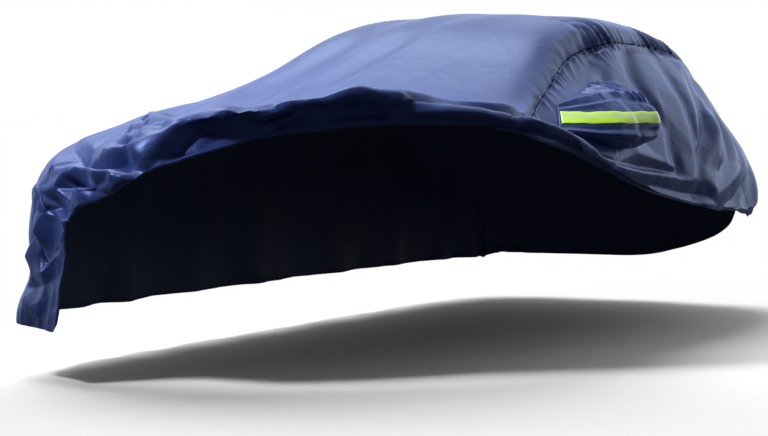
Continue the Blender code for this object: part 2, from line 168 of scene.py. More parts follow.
LONG_FOLDS = [
    # slack cloth over the front right shoulder
    Fold((1.8, -2.6), (3.4, -2.3), (5.6, -2.3), 0.032, 0.16, 0.26),
    # the deep crease where the hanging corner meets the roll, and the folds below it
    Fold((1.6, -1.7), (1.0, -2.5), (0.3, -3.4), -0.045, 0.10, 0.08),
    Fold((1.8, -2.6), (1.0, -3.9), (0.5, -5.6), 0.026, 0.09, 0.08),
    Fold((0.3, -4.0), (1.2, -4.7), (2.4, -4.9), -0.030, 0.07, 0.09),
    Fold((2.4, -5.6), (1.5, -5.8), (0.5, -5.9), 0.028, 0.12, 0.10),
    # tension folds from the roll up the slope of the top
    Fold((3.6, -1.0), (6.2, -1.7), (9.0, -1.4), 0.016, 0.05, 0.10),
    Fold((3.9, -0.4), (6.4, -0.9), (9.4, -0.3), 0.016, 0.05, 0.11),
    Fold((4.1, 0.2), (6.5, 0.0), (9.0, 0.7), 0.013, 0.06, 0.11),
    Fold((3.0, -1.6), (4.6, -2.0), (6.6, -2.4), 0.018, 0.05, 0.09),
    # peaks of the roll
    Fold((2.5, -1.0), (2.9, -0.9), (3.4, -1.2), 0.030, 0.07, 0.06),
    Fold((3.9, 1.2), (4.4, 0.9), (5.4, 0.6), 0.028, 0.07, 0.08),
    # the gap and the tongue under the left end of the roll
    Fold((4.7, 1.8), (5.5, 2.9), (6.4, 3.4), -0.022, 0.045, 0.045),
    Fold((4.5, 2.2), (5.4, 3.4), (7.6, 4.22), 0.024, 0.05, 0.06),
    # drawn folds of the left side
    Fold((8.7, 2.95), (8.3, 3.3), (8.0, 3.6), -0.022, 0.04, 0.06),
    Fold((9.4, 3.0), (9.0, 3.5), (9.0, 4.3), -0.022, 0.04, 0.05),
    Fold((9.9, 3.2), (9.6, 4.0), (9.35, 4.6), -0.020, 0.06, 0.04),
    Fold((10.6, 3.1), (10.2, 3.9), (9.6, 4.6), 0.026, 0.06, 0.05),
    Fold((11.3, 3.3), (10.9, 4.2), (9.9, 4.7), -0.022, 0.07, 0.05),
    Fold((12.0, 3.6), (11.5, 4.6), (9.9, 5.0), 0.024, 0.07, 0.05),
    Fold((12.8, 4.0), (11.8, 4.95), (10.2, 5.08), -0.020, 0.06, 0.04),
    # loose hanging folds of the right side and the tail
    Fold((3.2, -4.0), (3.3, -5.0), (3.4, -6.0), 0.018, 0.06, 0.10),
    Fold((4.9, -4.2), (4.9, -5.1), (5.0, -6.0), -0.018, 0.06, 0.10),
    Fold((6.3, -4.4), (6.3, -5.2), (6.2, -6.0), 0.020, 0.07, 0.11),
    Fold((8.0, -4.1), (7.9, -5.0), (7.8, -6.0), -0.016, 0.06, 0.10),
    Fold((9.2, -4.2), (9.2, -5.1), (9.1, -6.0), 0.019, 0.07, 0.12),
    Fold((10.6, -4.1), (10.7, -5.0), (10.8, -6.0), -0.017, 0.06, 0.10),
    Fold((12.0, -4.0), (12.0, -5.0), (12.1, -6.0), 0.020, 0.07, 0.11),
    Fold((13.0, -1.7), (14.4, -1.8), (16.0, -1.9), 0.014, 0.07, 0.12),
    Fold((13.2, 0.3), (14.6, 0.2), (16.0, 0.2), -0.012, 0.07, 0.12),
    Fold((13.0, 1.9), (14.3, 2.0), (15.5, 2.2), 0.014, 0.07, 0.10),
]

CREASES = [
    # faint lines of the front right shoulder
    Fold((2.07, -2.51), (2.34, -2.14), (2.56, -1.88), 0.008, 0.012, 0.014),
    Fold((2.84, -2.21), (3.27, -2.00), (3.64, -1.86), -0.006, 0.020, 0.020),
    Fold((2.31, -1.63), (2.77, -1.56), (3.18, -1.54), -0.006, 0.014, 0.014),
    # fine streaks up the slope of the top
    Fold((3.5, -1.2), (5.0, -1.7), (7.2, -1.5), 0.005, 0.018, 0.030),
    Fold((3.7, -0.6), (5.4, -1.1), (7.8, -0.7), -0.005, 0.018, 0.030),
    Fold((4.0, 0.0), (5.8, -0.4), (8.2, 0.2), 0.005, 0.018, 0.030),
    Fold((4.2, 0.6), (5.8, 0.4), (7.6, 1.2), -0.004, 0.018, 0.030),
]


# A crest or trough line of the faceted relief: section, column and millimetres at each turn.
Ridge = list[tuple[float, float, int]]

FACETS: list[Ridge] = [
    # the right half of the roll
    [(2.31, -1.56, -14)],
    [(2.53, -1.45, 14), (2.75, -1.15, 22), (2.95, -1.00, 25), (3.12, -0.95, 24), (3.32, -0.98, 20),
     (3.36, -0.75, 14)],
    [(2.86, -0.90, -8), (2.87, -0.64, -8), (3.18, -0.66, -3)],
    [(2.84, -0.80, 11), (2.90, -0.61, 16), (2.96, -0.45, 19), (3.11, -0.45, 19)],
    [(2.62, -0.68, 22), (2.59, -0.40, 19), (2.56, -0.82, 11)],
    [(2.47, -0.89, -5)],
    [(2.37, -1.19, 24), (2.34, -1.01, 27), (2.37, -0.80, 27)],
    [(2.31, -1.68, -27), (2.10, -1.10, -35), (2.19, -0.87, -30)],
    [(2.13, -1.86, 11), (2.03, -1.65, 16), (1.91, -1.24, 20), (1.85, -0.96, 24), (1.66, -0.57, 16),
     (1.94, -0.94, 5)],
    [(1.54, -0.89, 19)], [(1.73, -1.10, -8)], [(1.57, -0.66, 5)], [(1.97, -0.77, -11)],
    [(1.97, -0.66, -16)],
    [(2.07, -0.52, 11), (2.22, -0.45, 14), (2.47, -0.36, 19), (2.81, -0.34, 22)],
    [(2.40, -0.15, -19), (2.65, -0.06, -32), (2.44, -0.03, -32), (2.53, 0.06, -14),
     (2.19, -0.29, -5)],
    [(1.79, -1.88, -46), (1.79, -1.58, -40), (1.60, -1.58, -11), (1.14, -2.02, -3)],
    [(1.51, -1.35, -24), (1.63, -1.24, -14)],
    # the hollow crest and the knot of small folds beside it
    [(3.20, -0.58, 6), (3.32, -0.40, 8), (3.50, 0.02, 12), (3.70, 0.33, 18), (3.80, 0.53, 10)],
    [(2.90, -0.38, 12), (3.02, -0.50, 18), (3.12, -0.30, 20), (3.24, -0.13, 22), (3.14, -0.01, 14),
     (3.08, 0.29, 14), (3.14, 0.45, 12), (3.24, 0.64, 4)],
    [(2.90, 0.01, -26), (2.93, 0.17, -26), (2.81, -0.03, -22), (2.74, 0.20, -20), (2.62, 0.06, -10),
     (2.65, -0.10, -20), (2.96, 0.31, -14)],
    [(3.18, 0.27, -6), (3.18, 0.10, -8)],
    [(3.43, 0.10, 8), (3.30, 0.17, 10)],
    [(3.24, 0.29, 16), (3.39, 0.40, 18), (3.58, 0.50, 20), (3.76, 0.64, 14)],
    [(3.36, 0.24, -6), (3.60, 0.37, -8), (3.67, 0.54, -6)],
    [(3.27, 0.40, -4), (3.39, 0.59, -10), (3.55, 0.71, -8)],
    [(3.30, 0.57, 12), (3.45, 0.68, 14), (3.55, 0.80, 10)],
    [(3.11, 0.31, 12), (3.24, 0.45, 10), (3.27, 0.61, 14)],
    [(3.33, 0.64, -10), (3.45, 0.77, -12), (3.55, 0.89, -12)],
    [(3.64, 0.82, -6), (3.61, 0.89, -8)],
    [(3.61, 0.77, 12), (3.70, 0.68, 10)],
    [(3.64, 0.89, 10), (3.79, 0.80, 12), (3.85, 0.82, 10)],
    [(3.70, 0.87, -6)],
    [(3.64, 1.05, 10), (3.39, 0.73, 12), (3.30, 0.68, 6)],
    [(3.73, 1.08, -10)], [(3.82, 1.08, 6)],
    # the left half: the smooth face, and the long fold between two troughs
    [(3.82, 1.01, 11), (3.95, 1.15, 14), (4.20, 1.30, 22), (4.34, 1.50, 27)],
    [(3.85, 1.26, -11), (3.92, 1.40, -11), (4.04, 1.56, -14)],
    [(3.70, 1.12, -3)],
    [(3.67, 1.14, 11), (3.82, 1.35, 11), (3.98, 1.58, 8)],
    [(4.10, 1.62, 16), (4.27, 1.86, 24), (4.43, 2.10, 27), (4.60, 2.36, 27), (4.80, 2.68, 26),
     (5.05, 3.05, 23), (5.45, 3.42, 20), (6.00, 3.74, 18), (6.60, 3.98, 16), (7.20, 4.10, 11)],
    [(4.40, 1.66, -11), (4.54, 1.86, -19), (4.72, 2.10, -22), (4.94, 2.38, -22), (5.22, 2.68, -20),
     (5.60, 3.02, -19), (6.10, 3.36, -18), (6.45, 3.58, -14)],
    [(4.18, 1.86, -5), (4.36, 2.18, -11), (4.58, 2.54, -12), (4.82, 2.92, -14), (5.12, 3.32, -14),
     (5.55, 3.68, -14), (6.20, 3.99, -12), (6.80, 4.17, -11)],
    [(4.85, 1.80, 5), (5.20, 2.20, 7), (5.80, 2.65, 7)],
    # the hanging corner
    [(1.97, -1.82, 10), (1.91, -2.05, 12), (1.63, -2.30, 8)],
    [(1.63, -2.00, -28)], [(1.05, -2.55, -16)], [(1.60, -1.61, -6)], [(2.10, -2.28, 4)],
    [(1.91, -2.51, -6)], [(1.57, -2.69, 6)], [(1.23, -2.79, 12)], [(0.92, -3.53, 16)],
    [(1.51, -4.40, 18)],
    [(1.33, -3.25, -10), (1.14, -3.78, -14), (1.60, -4.36, -6)],
    [(1.02, -2.97, 10), (0.65, -3.18, 6), (0.68, -3.60, 8)],
    [(0.74, -3.83, -4), (0.43, -3.76, -2)],
    [(0.31, -3.80, 5), (0.46, -4.10, 12), (0.65, -4.50, 12)],
    [(1.29, -4.94, 12)], [(0.71, -4.27, -12)], [(1.60, -4.82, -12)], [(0.89, -4.13, 0)],
    [(0.62, -4.75, -8), (1.20, -5.08, -6)],
    [(0.34, -4.34, -8)],
    [(1.26, -5.40, 10), (0.89, -5.49, 10), (1.29, -5.61, 4)],
    [(1.82, -5.21, -6)], [(0.43, -5.12, -8)], [(0.12, -4.43, -4)],
    [(0.37, -5.77, 0), (0.00, -5.26, -4)],
    [(0.74, -5.84, 0)],
    # the panels of the flank between their edges
    [(8.49, 2.96, -6), (8.27, 3.15, -7), (7.82, 3.33, -6)],
    [(8.69, 3.01, 9), (8.49, 3.17, 12), (8.12, 3.35, 10)],
    [(8.94, 3.10, 3), (8.67, 3.27, 4), (8.42, 3.39, 3)],
    [(9.34, 3.09, -7), (9.16, 3.28, -8), (8.79, 3.50, -8)],
    [(9.76, 3.16, 2), (9.29, 3.53, 3), (9.11, 3.72, 4), (8.99, 3.94, 4)],
    [(10.46, 3.15, 14), (10.06, 3.51, 18), (9.81, 3.80, 18), (9.69, 4.01, 14), (9.46, 4.19, 10)],
    [(11.06, 3.12, -6), (10.41, 3.50, -9), (10.26, 3.67, -10), (10.04, 3.85, -10),
     (9.71, 4.06, -8)],
    [(11.03, 3.29, 4), (10.66, 3.58, 10), (10.16, 3.89, 14), (9.89, 4.08, 12), (9.61, 4.24, 8)],
    [(10.04, 4.15, 0)],
    [(10.59, 4.05, -10), (9.99, 4.25, -10)],
    [(11.76, 3.78, 3), (11.06, 4.02, 13), (10.26, 4.30, 12), (9.81, 4.48, 8)],
    [(11.71, 3.97, -1), (11.01, 4.27, -8), (10.59, 4.46, -6)],
    # the pinch, the swag above its crest, the crest and the folds below it
    [(8.29, 3.93, -4), (8.34, 4.08, -2), (9.11, 3.85, 0)],
    [(8.74, 4.05, 4), (8.72, 4.20, 6)],
    [(9.04, 4.04, -4), (9.04, 4.21, -12), (8.99, 4.30, -12), (9.14, 4.13, -6)],
    [(9.14, 4.29, 4)],
    [(7.97, 4.12, 10), (8.29, 4.19, 13), (8.64, 4.25, 13), (8.82, 4.29, 10)],
    [(6.80, 4.00, -8), (7.37, 4.15, -10), (7.99, 4.25, -10), (8.52, 4.30, -9), (9.02, 4.34, -4)],
    [(6.32, 4.02, 9), (6.67, 4.07, 11), (7.10, 4.13, 12), (7.52, 4.23, 12), (8.04, 4.30, 12),
     (8.44, 4.33, 12), (8.82, 4.35, 12), (9.24, 4.38, 12), (9.61, 4.36, 10)],
    [(6.95, 4.31, -8), (7.52, 4.31, -10), (8.22, 4.42, -10), (8.97, 4.50, -9), (9.56, 4.52, -6)],
    [(8.62, 4.52, 3), (8.99, 4.57, 6), (9.41, 4.60, 8), (10.04, 4.58, 8), (10.69, 4.48, 6)],
    # the hanging folds of the full-length side
    [(3.30, -3.30, 3), (3.40, -4.20, 12), (3.30, -5.20, 16), (3.50, -6.00, 18)],
    [(3.90, -3.30, -2), (3.90, -4.50, -8), (4.10, -6.00, -10)],
    [(4.60, -3.40, 3), (4.50, -4.60, 12), (4.70, -5.40, 10), (4.60, -6.00, 14)],
    [(5.10, -3.60, -2), (5.20, -4.80, -10), (5.00, -6.00, -12)],
    [(6.00, -3.90, 4), (5.80, -5.00, 13), (5.90, -6.00, 16)],
    [(6.60, -4.20, -3), (6.70, -5.20, -10), (6.50, -6.00, -8)],
    [(7.40, -4.10, 4), (7.20, -5.00, 8), (7.50, -6.00, 15)],
    [(8.10, -4.00, -3), (8.20, -4.80, -12), (8.00, -6.00, -10)],
    [(8.60, -3.20, 5), (8.80, -4.20, 12), (8.70, -5.20, 10), (8.90, -6.00, 16)],
    [(9.40, -3.30, -4), (9.30, -4.60, -9), (9.50, -6.00, -12)],
    [(10.20, -3.10, 5), (10.00, -4.20, 10), (10.20, -5.20, 14), (10.00, -6.00, 12)],
    [(10.80, -3.50, -3), (10.90, -4.80, -12), (10.70, -6.00, -10)],
    [(11.40, -3.20, 4), (11.60, -4.40, 12), (11.40, -5.40, 12), (11.60, -6.00, 16)],
    [(12.20, -3.40, -3), (12.10, -4.80, -10), (12.30, -6.00, -10)],
    [(12.80, -3.30, 4), (13.00, -4.30, 10), (12.90, -6.00, 14)],
    [(13.60, -3.40, -3), (13.80, -4.60, -8), (13.70, -6.00, -8)],
    [(14.50, -3.20, 3), (14.40, -4.50, 10), (14.60, -6.00, 12)],
    [(15.30, -3.20, -4), (15.20, -4.60, -8), (15.30, -6.00, -8)],
    # the hanging folds of the tail
    [(13.60, -1.70, 3), (14.40, -1.80, 8), (15.20, -1.90, 11), (16.00, -2.00, 13)],
    [(14.20, -0.90, -5), (16.00, -0.80, -9)],
    [(13.80, 0.30, 3), (14.60, 0.20, 9), (16.00, 0.30, 12)],
    [(14.40, 1.20, -5), (16.00, 1.10, -9)],
    [(13.80, 2.00, 3), (14.50, 2.10, 7), (15.30, 2.30, 9)],
]

STILL = [
    # where the cloth lies still around the facets: section and column
    (3.40, -2.60), (3.90, -2.00), (4.20, -1.50), (4.30, -0.90), (4.40, -0.30), (4.50, 0.20),
    (4.70, 0.70), (5.00, 1.20), (5.30, 1.70), (5.90, 2.20), (6.60, 2.60), (7.30, 2.95),
    (8.20, 2.90), (9.00, 2.95), (10.00, 3.00), (11.00, 3.00), (12.20, 3.10), (12.80, 3.70),
    (13.00, 4.30), (2.70, -3.00), (2.50, -3.60), (2.60, -4.40), (2.70, -5.20), (2.60, -6.20),
    (1.30, -6.20), (-0.10, -6.20), (7.60, 3.90), (7.90, 3.60), (7.00, 3.50), (5.00, -2.70),
    (6.50, -2.80), (8.00, -2.80), (9.50, -2.80), (11.00, -2.80), (12.50, -2.80), (13.50, -2.70),
    (15.00, -2.75), (13.00, -1.00), (13.00, 0.90), (13.20, 2.60), (7.00, 0.00), (9.00, 0.00),
    (11.00, 0.00), (7.20, -3.50), (6.80, -3.10),
]


class Gather(NamedTuple):
    """How a seam is gathered at a section: the pleats' height and reach up and down, in metres."""

    section: float
    height: float
    up: float
    down: float


GATHERS = [
    Gather(0.0, 0.000, 0.03, 0.03),
    Gather(4.6, 0.001, 0.03, 0.03),
    Gather(5.9, 0.003, 0.035, 0.02),
    Gather(6.4, 0.009, 0.035, 0.03),
    Gather(7.6, 0.011, 0.045, 0.04),
    Gather(8.3, 0.013, 0.09, 0.05),
    Gather(8.6, 0.019, 0.19, 0.06),
    Gather(9.0, 0.017, 0.16, 0.05),
    Gather(9.3, 0.007, 0.05, 0.03),
    Gather(9.8, 0.008, 0.06, 0.03),
    Gather(10.1, 0.018, 0.17, 0.05),
    Gather(10.6, 0.016, 0.15, 0.05),
    Gather(11.1, 0.007, 0.06, 0.04),
    Gather(13.0, 0.004, 0.04, 0.04),
    Gather(16.0, 0.003, 0.03, 0.03),
]


class Rib(NamedTuple):
    """A rib of a mirror pouch: its ends on the side panel and how far it stands out."""

    upper_section: float
    upper: float
    lower_section: float
    lower: float
    depth: float


POUCH = [
    Rib(6.84, 3.17, 6.40, 3.46, 0.002),
    Rib(7.08, 3.23, 6.76, 3.72, 0.050),
    Rib(7.34, 3.29, 7.06, 3.90, 0.100),
    Rib(7.60, 3.34, 7.40, 4.02, 0.145),
    Rib(7.84, 3.37, 7.70, 4.06, 0.172),
    Rib(8.02, 3.39, 7.95, 4.02, 0.165),
    Rib(8.12, 3.46, 8.10, 3.88, 0.002),
]


class PouchFold(NamedTuple):
    """A fold along a pouch: where it lies across it at the front and the rear, width and height."""

    front: float
    rear: float
    width: float
    height: float


POUCH_FOLDS = [
    PouchFold(0.08, 0.30, 0.045, 0.010),
    PouchFold(0.20, 0.38, 0.035, -0.008),
    PouchFold(0.34, 0.28, 0.035, 0.007),
    PouchFold(0.68, 0.70, 0.040, -0.007),
    PouchFold(0.78, 0.76, 0.040, 0.008),
    PouchFold(0.90, 0.88, 0.040, -0.008),
]


class Side(Enum):
    """The cover's two sides, as the sign of x."""

    LEFT = 1
    RIGHT = -1


def hermite(share: Array, ends: tuple, slopes: tuple) -> Array:
    """Joins two ends by a smooth curve.

    Args:
        share: how far along the curve each place is, from 0 to 1.
        ends: the values at its ends.
        slopes: the slopes there.

    Returns:
        One value for each place.
    """
    return (
        (2 * share**3 - 3 * share**2 + 1) * ends[0]
        + (share**3 - 2 * share**2 + share) * slopes[0]
        + (3 * share**2 - 2 * share**3) * ends[1]
        + (share**3 - share**2) * slopes[1]
    )


def spline(rows: Array, at: Array) -> Array:
    """Finds points on the smooth curve through rows.

    Args:
        rows: the curve's points, one a row.
        at: places on the curve, counted in rows from 0.

    Returns:
        One point for each place.
    """
    rows = np.asarray(rows, float)
    slopes = np.gradient(rows, axis=0)
    at = np.clip(np.asarray(at, float), 0, len(rows) - 1)
    k = np.minimum(at.astype(int), len(rows) - 2)
    share = (at - k).reshape(at.shape + (1,) * (rows.ndim - 1))
    return hermite(share, (rows[k], rows[k + 1]), (slopes[k], slopes[k + 1]))


def unit(vectors: Array) -> Array:
    """Scales vectors to length 1."""
    return vectors / np.maximum(np.linalg.norm(vectors, axis=-1, keepdims=True), 1e-12)


def nearest(points: Array, line: Array) -> tuple[Array, Array]:
    """Finds the nearest point of a line for each point.

    Args:
        points: any grid of points.
        line: the line's points, one a row.

    Returns:
        The distances, and the numbers of the nearest points, in the grid's shape.
    """
    flat = points.reshape(-1, 3)
    index = np.concatenate([
        (np.sum(line**2, axis=1) - 2 * part @ line.T).argmin(axis=1)
        for part in np.array_split(flat, max(1, len(flat) // POINTS_AT_ONCE))
    ])
    distance = np.linalg.norm(flat - line[index], axis=1)
    return distance.reshape(points.shape[:-1]), index.reshape(points.shape[:-1])


def grid_normals(points: Array, like: Array) -> Array:
    """Finds a grid's unit normals.

    Args:
        points: a grid of points.
        like: rough normals, which give the side that the result faces.

    Returns:
        The unit normals.
    """
    normals = unit(np.cross(np.gradient(points, axis=1), np.gradient(points, axis=0)))
    return normals * np.sign(np.sum(normals * like))


def softened(values: Array, times: int) -> Array:
    """Smooths a grid of values over neighbouring points.

    Args:
        values: one value or vector for each point.
        times: how often it is smoothed.

    Returns:
        The smoothed grid.
    """
    for _ in range(times):
        for axis in (0, 1):
            margins = [(1, 1) if k == axis else (0, 0) for k in range(values.ndim)]
            padded = np.pad(values, margins, "edge")
            sides = [np.take(padded, range(i, i + values.shape[axis]), axis) for i in (0, 2)]
            values = values / 2 + (sides[0] + sides[1]) / 4
    return values


def noise_at(points: Array, size: tuple, seed: float) -> Array:
    """Reads one smooth noise value for each point.

    Args:
        points: a grid of points.
        size: the pattern's spacing along x, y and z, in metres.
        seed: an offset that picks another part of the pattern.

    Returns:
        The values, in the grid's shape.
    """
    scaled = (points / np.array(size) + seed).reshape(-1, 3)
    return np.array([noise.noise(p) for p in scaled.tolist()]).reshape(points.shape[:-1])


def ridged(points: Array, size: tuple, seed: float) -> Array:
    """Makes uneven ridges from about -1 to 1 with crisp crests, spaced as size gives."""
    return 1 - 3.2 * abs(noise_at(points, size, seed))


def soft_noise(points: Array, size: tuple, seed: float) -> Array:
    """Makes soft uneven waves from about -1 to 1, spaced as size gives."""
    return 2 * noise_at(points, size, seed)


@dataclass
class CoverForm:
    """The form that all the cloth follows, and the roll and long folds on it."""

    sections: list = field(default_factory=lambda: SECTIONS)
    raised_hem: list = field(default_factory=lambda: RAISED_HEM)
    long_folds: list = field(default_factory=lambda: LONG_FOLDS)
    edge_steps: int = 480
    # how far behind its face the roll sinks away, in faces, and over how many steps it ends
    roll_back: float = 2.0
    roll_fade: int = 28

    def __post_init__(self) -> None:
        """Works out the net of control points and the raised hem's line."""
        self.net = np.array(
            [self.half(s, -1)[:0:-1] + self.half(s, 1) for s in self.sections]
        )
        count = len(self.raised_hem) - 1
        self.edge = Edge(*spline(self.raised_hem, np.linspace(0, count, self.edge_steps)).T)
        self.edge_line = self.form(self.edge.section, self.edge.column)
        self.edge_along = unit(np.gradient(self.edge_line, axis=0))
        outward = self.outward(self.edge.section, self.edge.column)
        self.edge_out = unit(np.cross(self.edge_along, outward))

    @staticmethod
    def half(section: Section, side: int) -> list:
        """Places one side of a section.

        Args:
            section: the section.
            side: the sign of x.

        Returns:
            Seven control points, from the spine to the full hem.
        """
        rail_drop = 0.28 * (section.spine_z - section.rail_z)
        across = [
            (0.0, 0.0, section.spine_z),
            (section.rail_x / 2, 0.12, section.spine_z - rail_drop),
            (section.rail_x, 0.42, section.rail_z),
            (section.shoulder_x, 0.72, section.shoulder_z),
            (section.waist_x, 1.0, section.waist_z),
            (section.waist_x + 0.015, 1.0, (section.waist_z + section.hem_z) / 2),
            (section.waist_x + 0.03, 1.0, section.hem_z),
        ]
        return [(side * x, section.spine_y + share * section.lag, z) for x, share, z in across]

    def form(self, section: Array, column: Array) -> Array:
        """Finds points of the smooth form.

        Args:
            section: places along the cover.
            column: places across it.

        Returns:
            One point for each place.
        """
        section, column = np.broadcast_arrays(section, column)
        rows = spline(self.net, section.ravel())
        slopes = np.gradient(rows, axis=1)
        at = np.clip(column.ravel() + HEM, 0, 2 * HEM)
        k = np.minimum(at.astype(int), 2 * HEM - 1)
        i = np.arange(len(k))
        ends, leaving = ((grid[i, k], grid[i, k + 1]) for grid in (rows, slopes))
        return hermite((at - k)[:, None], ends, leaving).reshape(section.shape + (3,))

    def outward(self, section: Array, column: Array, step: float = 0.02) -> Array:
        """Finds the form's unit normals, away from the hollow."""
        along = self.form(section + step, column) - self.form(section - step, column)
        across = self.form(section, column + step) - self.form(section, column - step)
        return unit(np.cross(across, along))

    def from_edge(self, points: Array) -> tuple[Array, Array]:
        """Measures points of the form from the raised hem.

        Args:
            points: points of the form.

        Returns:
            How far each lies inside the hem, and the number of the hem's nearest point.
        """
        _, index = nearest(points, self.edge_line)
        offset = points - self.edge_line[index]
        along = np.sum(offset * self.edge_along[index], axis=-1)
        across = np.sqrt(np.maximum(np.sum(offset**2, axis=-1) - along**2, 0))
        outside = np.sum(offset * self.edge_out[index], axis=-1) > 0
        return np.where(outside, -across, across), index

    def roll(self, points: Array, normals: Array) -> Array:
        """Finds how the roll along the raised hem moves the form.

        Args:
            points: points of the form.
            normals: its normals there.

        Returns:
            One move for each point.
        """
        distance, index = self.from_edge(points)
        edge = self.edge
        # 0 on the hem and 1 where the roll's face ends
        steps = distance / edge.setback[index]
        face = np.clip(steps, -1, 1)
        last = self.edge_steps - 1 - index
        fade = np.clip(np.minimum(index, last) / self.roll_fade, 0, 1)
        back = fade * np.exp(-((np.maximum(abs(steps) - 1, 0) / self.roll_back) ** 2))
        lift = edge.rise[index] * (0.1 + 0.9 * np.sin(np.pi / 2 * face)) * back
        reach = (edge.setback[index] * face + edge.overhang[index] * face * abs(face)) * back
        reach -= edge.hollow[index] * np.sin(np.pi * face) * fade
        return normals * lift[..., None] + self.edge_out[index] * reach[..., None]

    def fold_height(self, points: Array, fold: Fold, crisp: float = 2.0) -> Array:
        """Finds the height of one fold.

        Args:
            points: points of the form.
            fold: the fold.
            crisp: 2 for a round crest, less for a sharper one.

        Returns:
            One height for each point.
        """
        along = np.linspace(0, 2, 97)
        section, column = spline([fold.start, fold.middle, fold.end], along).T
        distance, index = nearest(points, self.form(section, column))
        share = index / (len(along) - 1)
        width = fold.start_width + (fold.end_width - fold.start_width) * share
        # a fold dies away over its ends
        ends = np.sin(np.pi * (0.04 + 0.92 * share)) ** 0.6
        return fold.height * ends * np.exp(-((distance / width) ** crisp))

    def cloth(self, section: Array, column: Array) -> Array:
        """Finds points of the cloth with its roll and long folds.

        Args:
            section: places along the cover.
            column: places across it.

        Returns:
            One point for each place.
        """
        points = self.form(section, column)
        normals = self.outward(section, column)
        heights = sum(self.fold_height(points, fold) for fold in self.long_folds)
        return points + normals * heights[..., None] + self.roll(points, normals)

    def front_section(self, column: Array) -> Array:
        """Finds the section at which a column meets the front edge."""
        return np.interp(column, self.edge.column, self.edge.section)

    def left_column(self, section: Array) -> Array:
        """Finds the column at which a section of the left side meets the raised hem."""
        return np.interp(section, self.edge.section, self.edge.column)


@dataclass
class Facets:
    """Crumpled cloth as flat facets between listed ridges and troughs."""

    form: CoverForm
    ridges: list = field(default_factory=lambda: FACETS)
    # every height in the table is taken this many times, and then smoothed
    scale: float = 1.5
    softening: int = 1
    # the relief ends at the raised hem, on corners this many of its steps apart
    hem_step: int = 14

    def __post_init__(self) -> None:
        """Joins the ridges' turns, and still places around them, into facets."""
        turns, edges = [], []
        for ridge in self.ridges:
            first = len(turns)
            turns += ridge
            edges += [(k, k + 1) for k in range(first, len(turns) - 1)]
        edge = self.form.edge
        held = range(4, self.form.edge_steps, self.hem_step)
        hem = [(edge.section[i], edge.column[i], 0) for i in held]
        corners = np.array([*turns, *((s, c, 0) for s, c in STILL), *hem], float)
        places = [Vector(corner) for corner in corners[:, :2].tolist()]
        found = geometry.delaunay_2d_cdt(places, edges, [], 0, 1e-5)
        self.places = np.array([tuple(place) for place in found[0]])
        self.faces = [list(face) for face in found[2]]
        self.levels = np.array([
            corners[ids[0], 2] if ids else self.between(corners, place)
            for ids, place in zip(found[3], self.places)
        ])

    @staticmethod
    def between(corners: Array, place: Array) -> float:
        """Finds the height at a place where two ridges cross, from the corners nearest to it."""
        weight = 1 / (np.sum((corners[:, :2] - place) ** 2, axis=1) + 1e-4) ** 2
        return float(np.sum(weight * corners[:, 2]) / np.sum(weight))

    def heights(self, section: Array, column: Array) -> Array:
        """Finds the facets' height over a grid.

        Args:
            section: places along the cover.
            column: places across it.

        Returns:
            One height for each place, in metres.
        """
        total = np.zeros(section.shape)
        for face in self.faces:
            a, b, c = self.places[face]
            area = (b[0] - a[0]) * (c[1] - a[1]) - (b[1] - a[1]) * (c[0] - a[0])
            if abs(area) < 1e-9:
                continue
            low, high = np.minimum(np.minimum(a, b), c), np.maximum(np.maximum(a, b), c)
            near = (section >= low[0]) & (section <= high[0])
            rows, columns = np.nonzero(near & (column >= low[1]) & (column <= high[1]))
            s, t = section[rows, columns] - a[0], column[rows, columns] - a[1]
            v = (s * (c[1] - a[1]) - t * (c[0] - a[0])) / area
            w = ((b[0] - a[0]) * t - (b[1] - a[1]) * s) / area
            inside = (v >= 0) & (w >= 0) & (v + w <= 1)
            p, q, r = self.levels[face]
            total[rows[inside], columns[inside]] = (p + (q - p) * v + (r - p) * w)[inside]
        return softened(total, self.softening) * 0.001 * self.scale


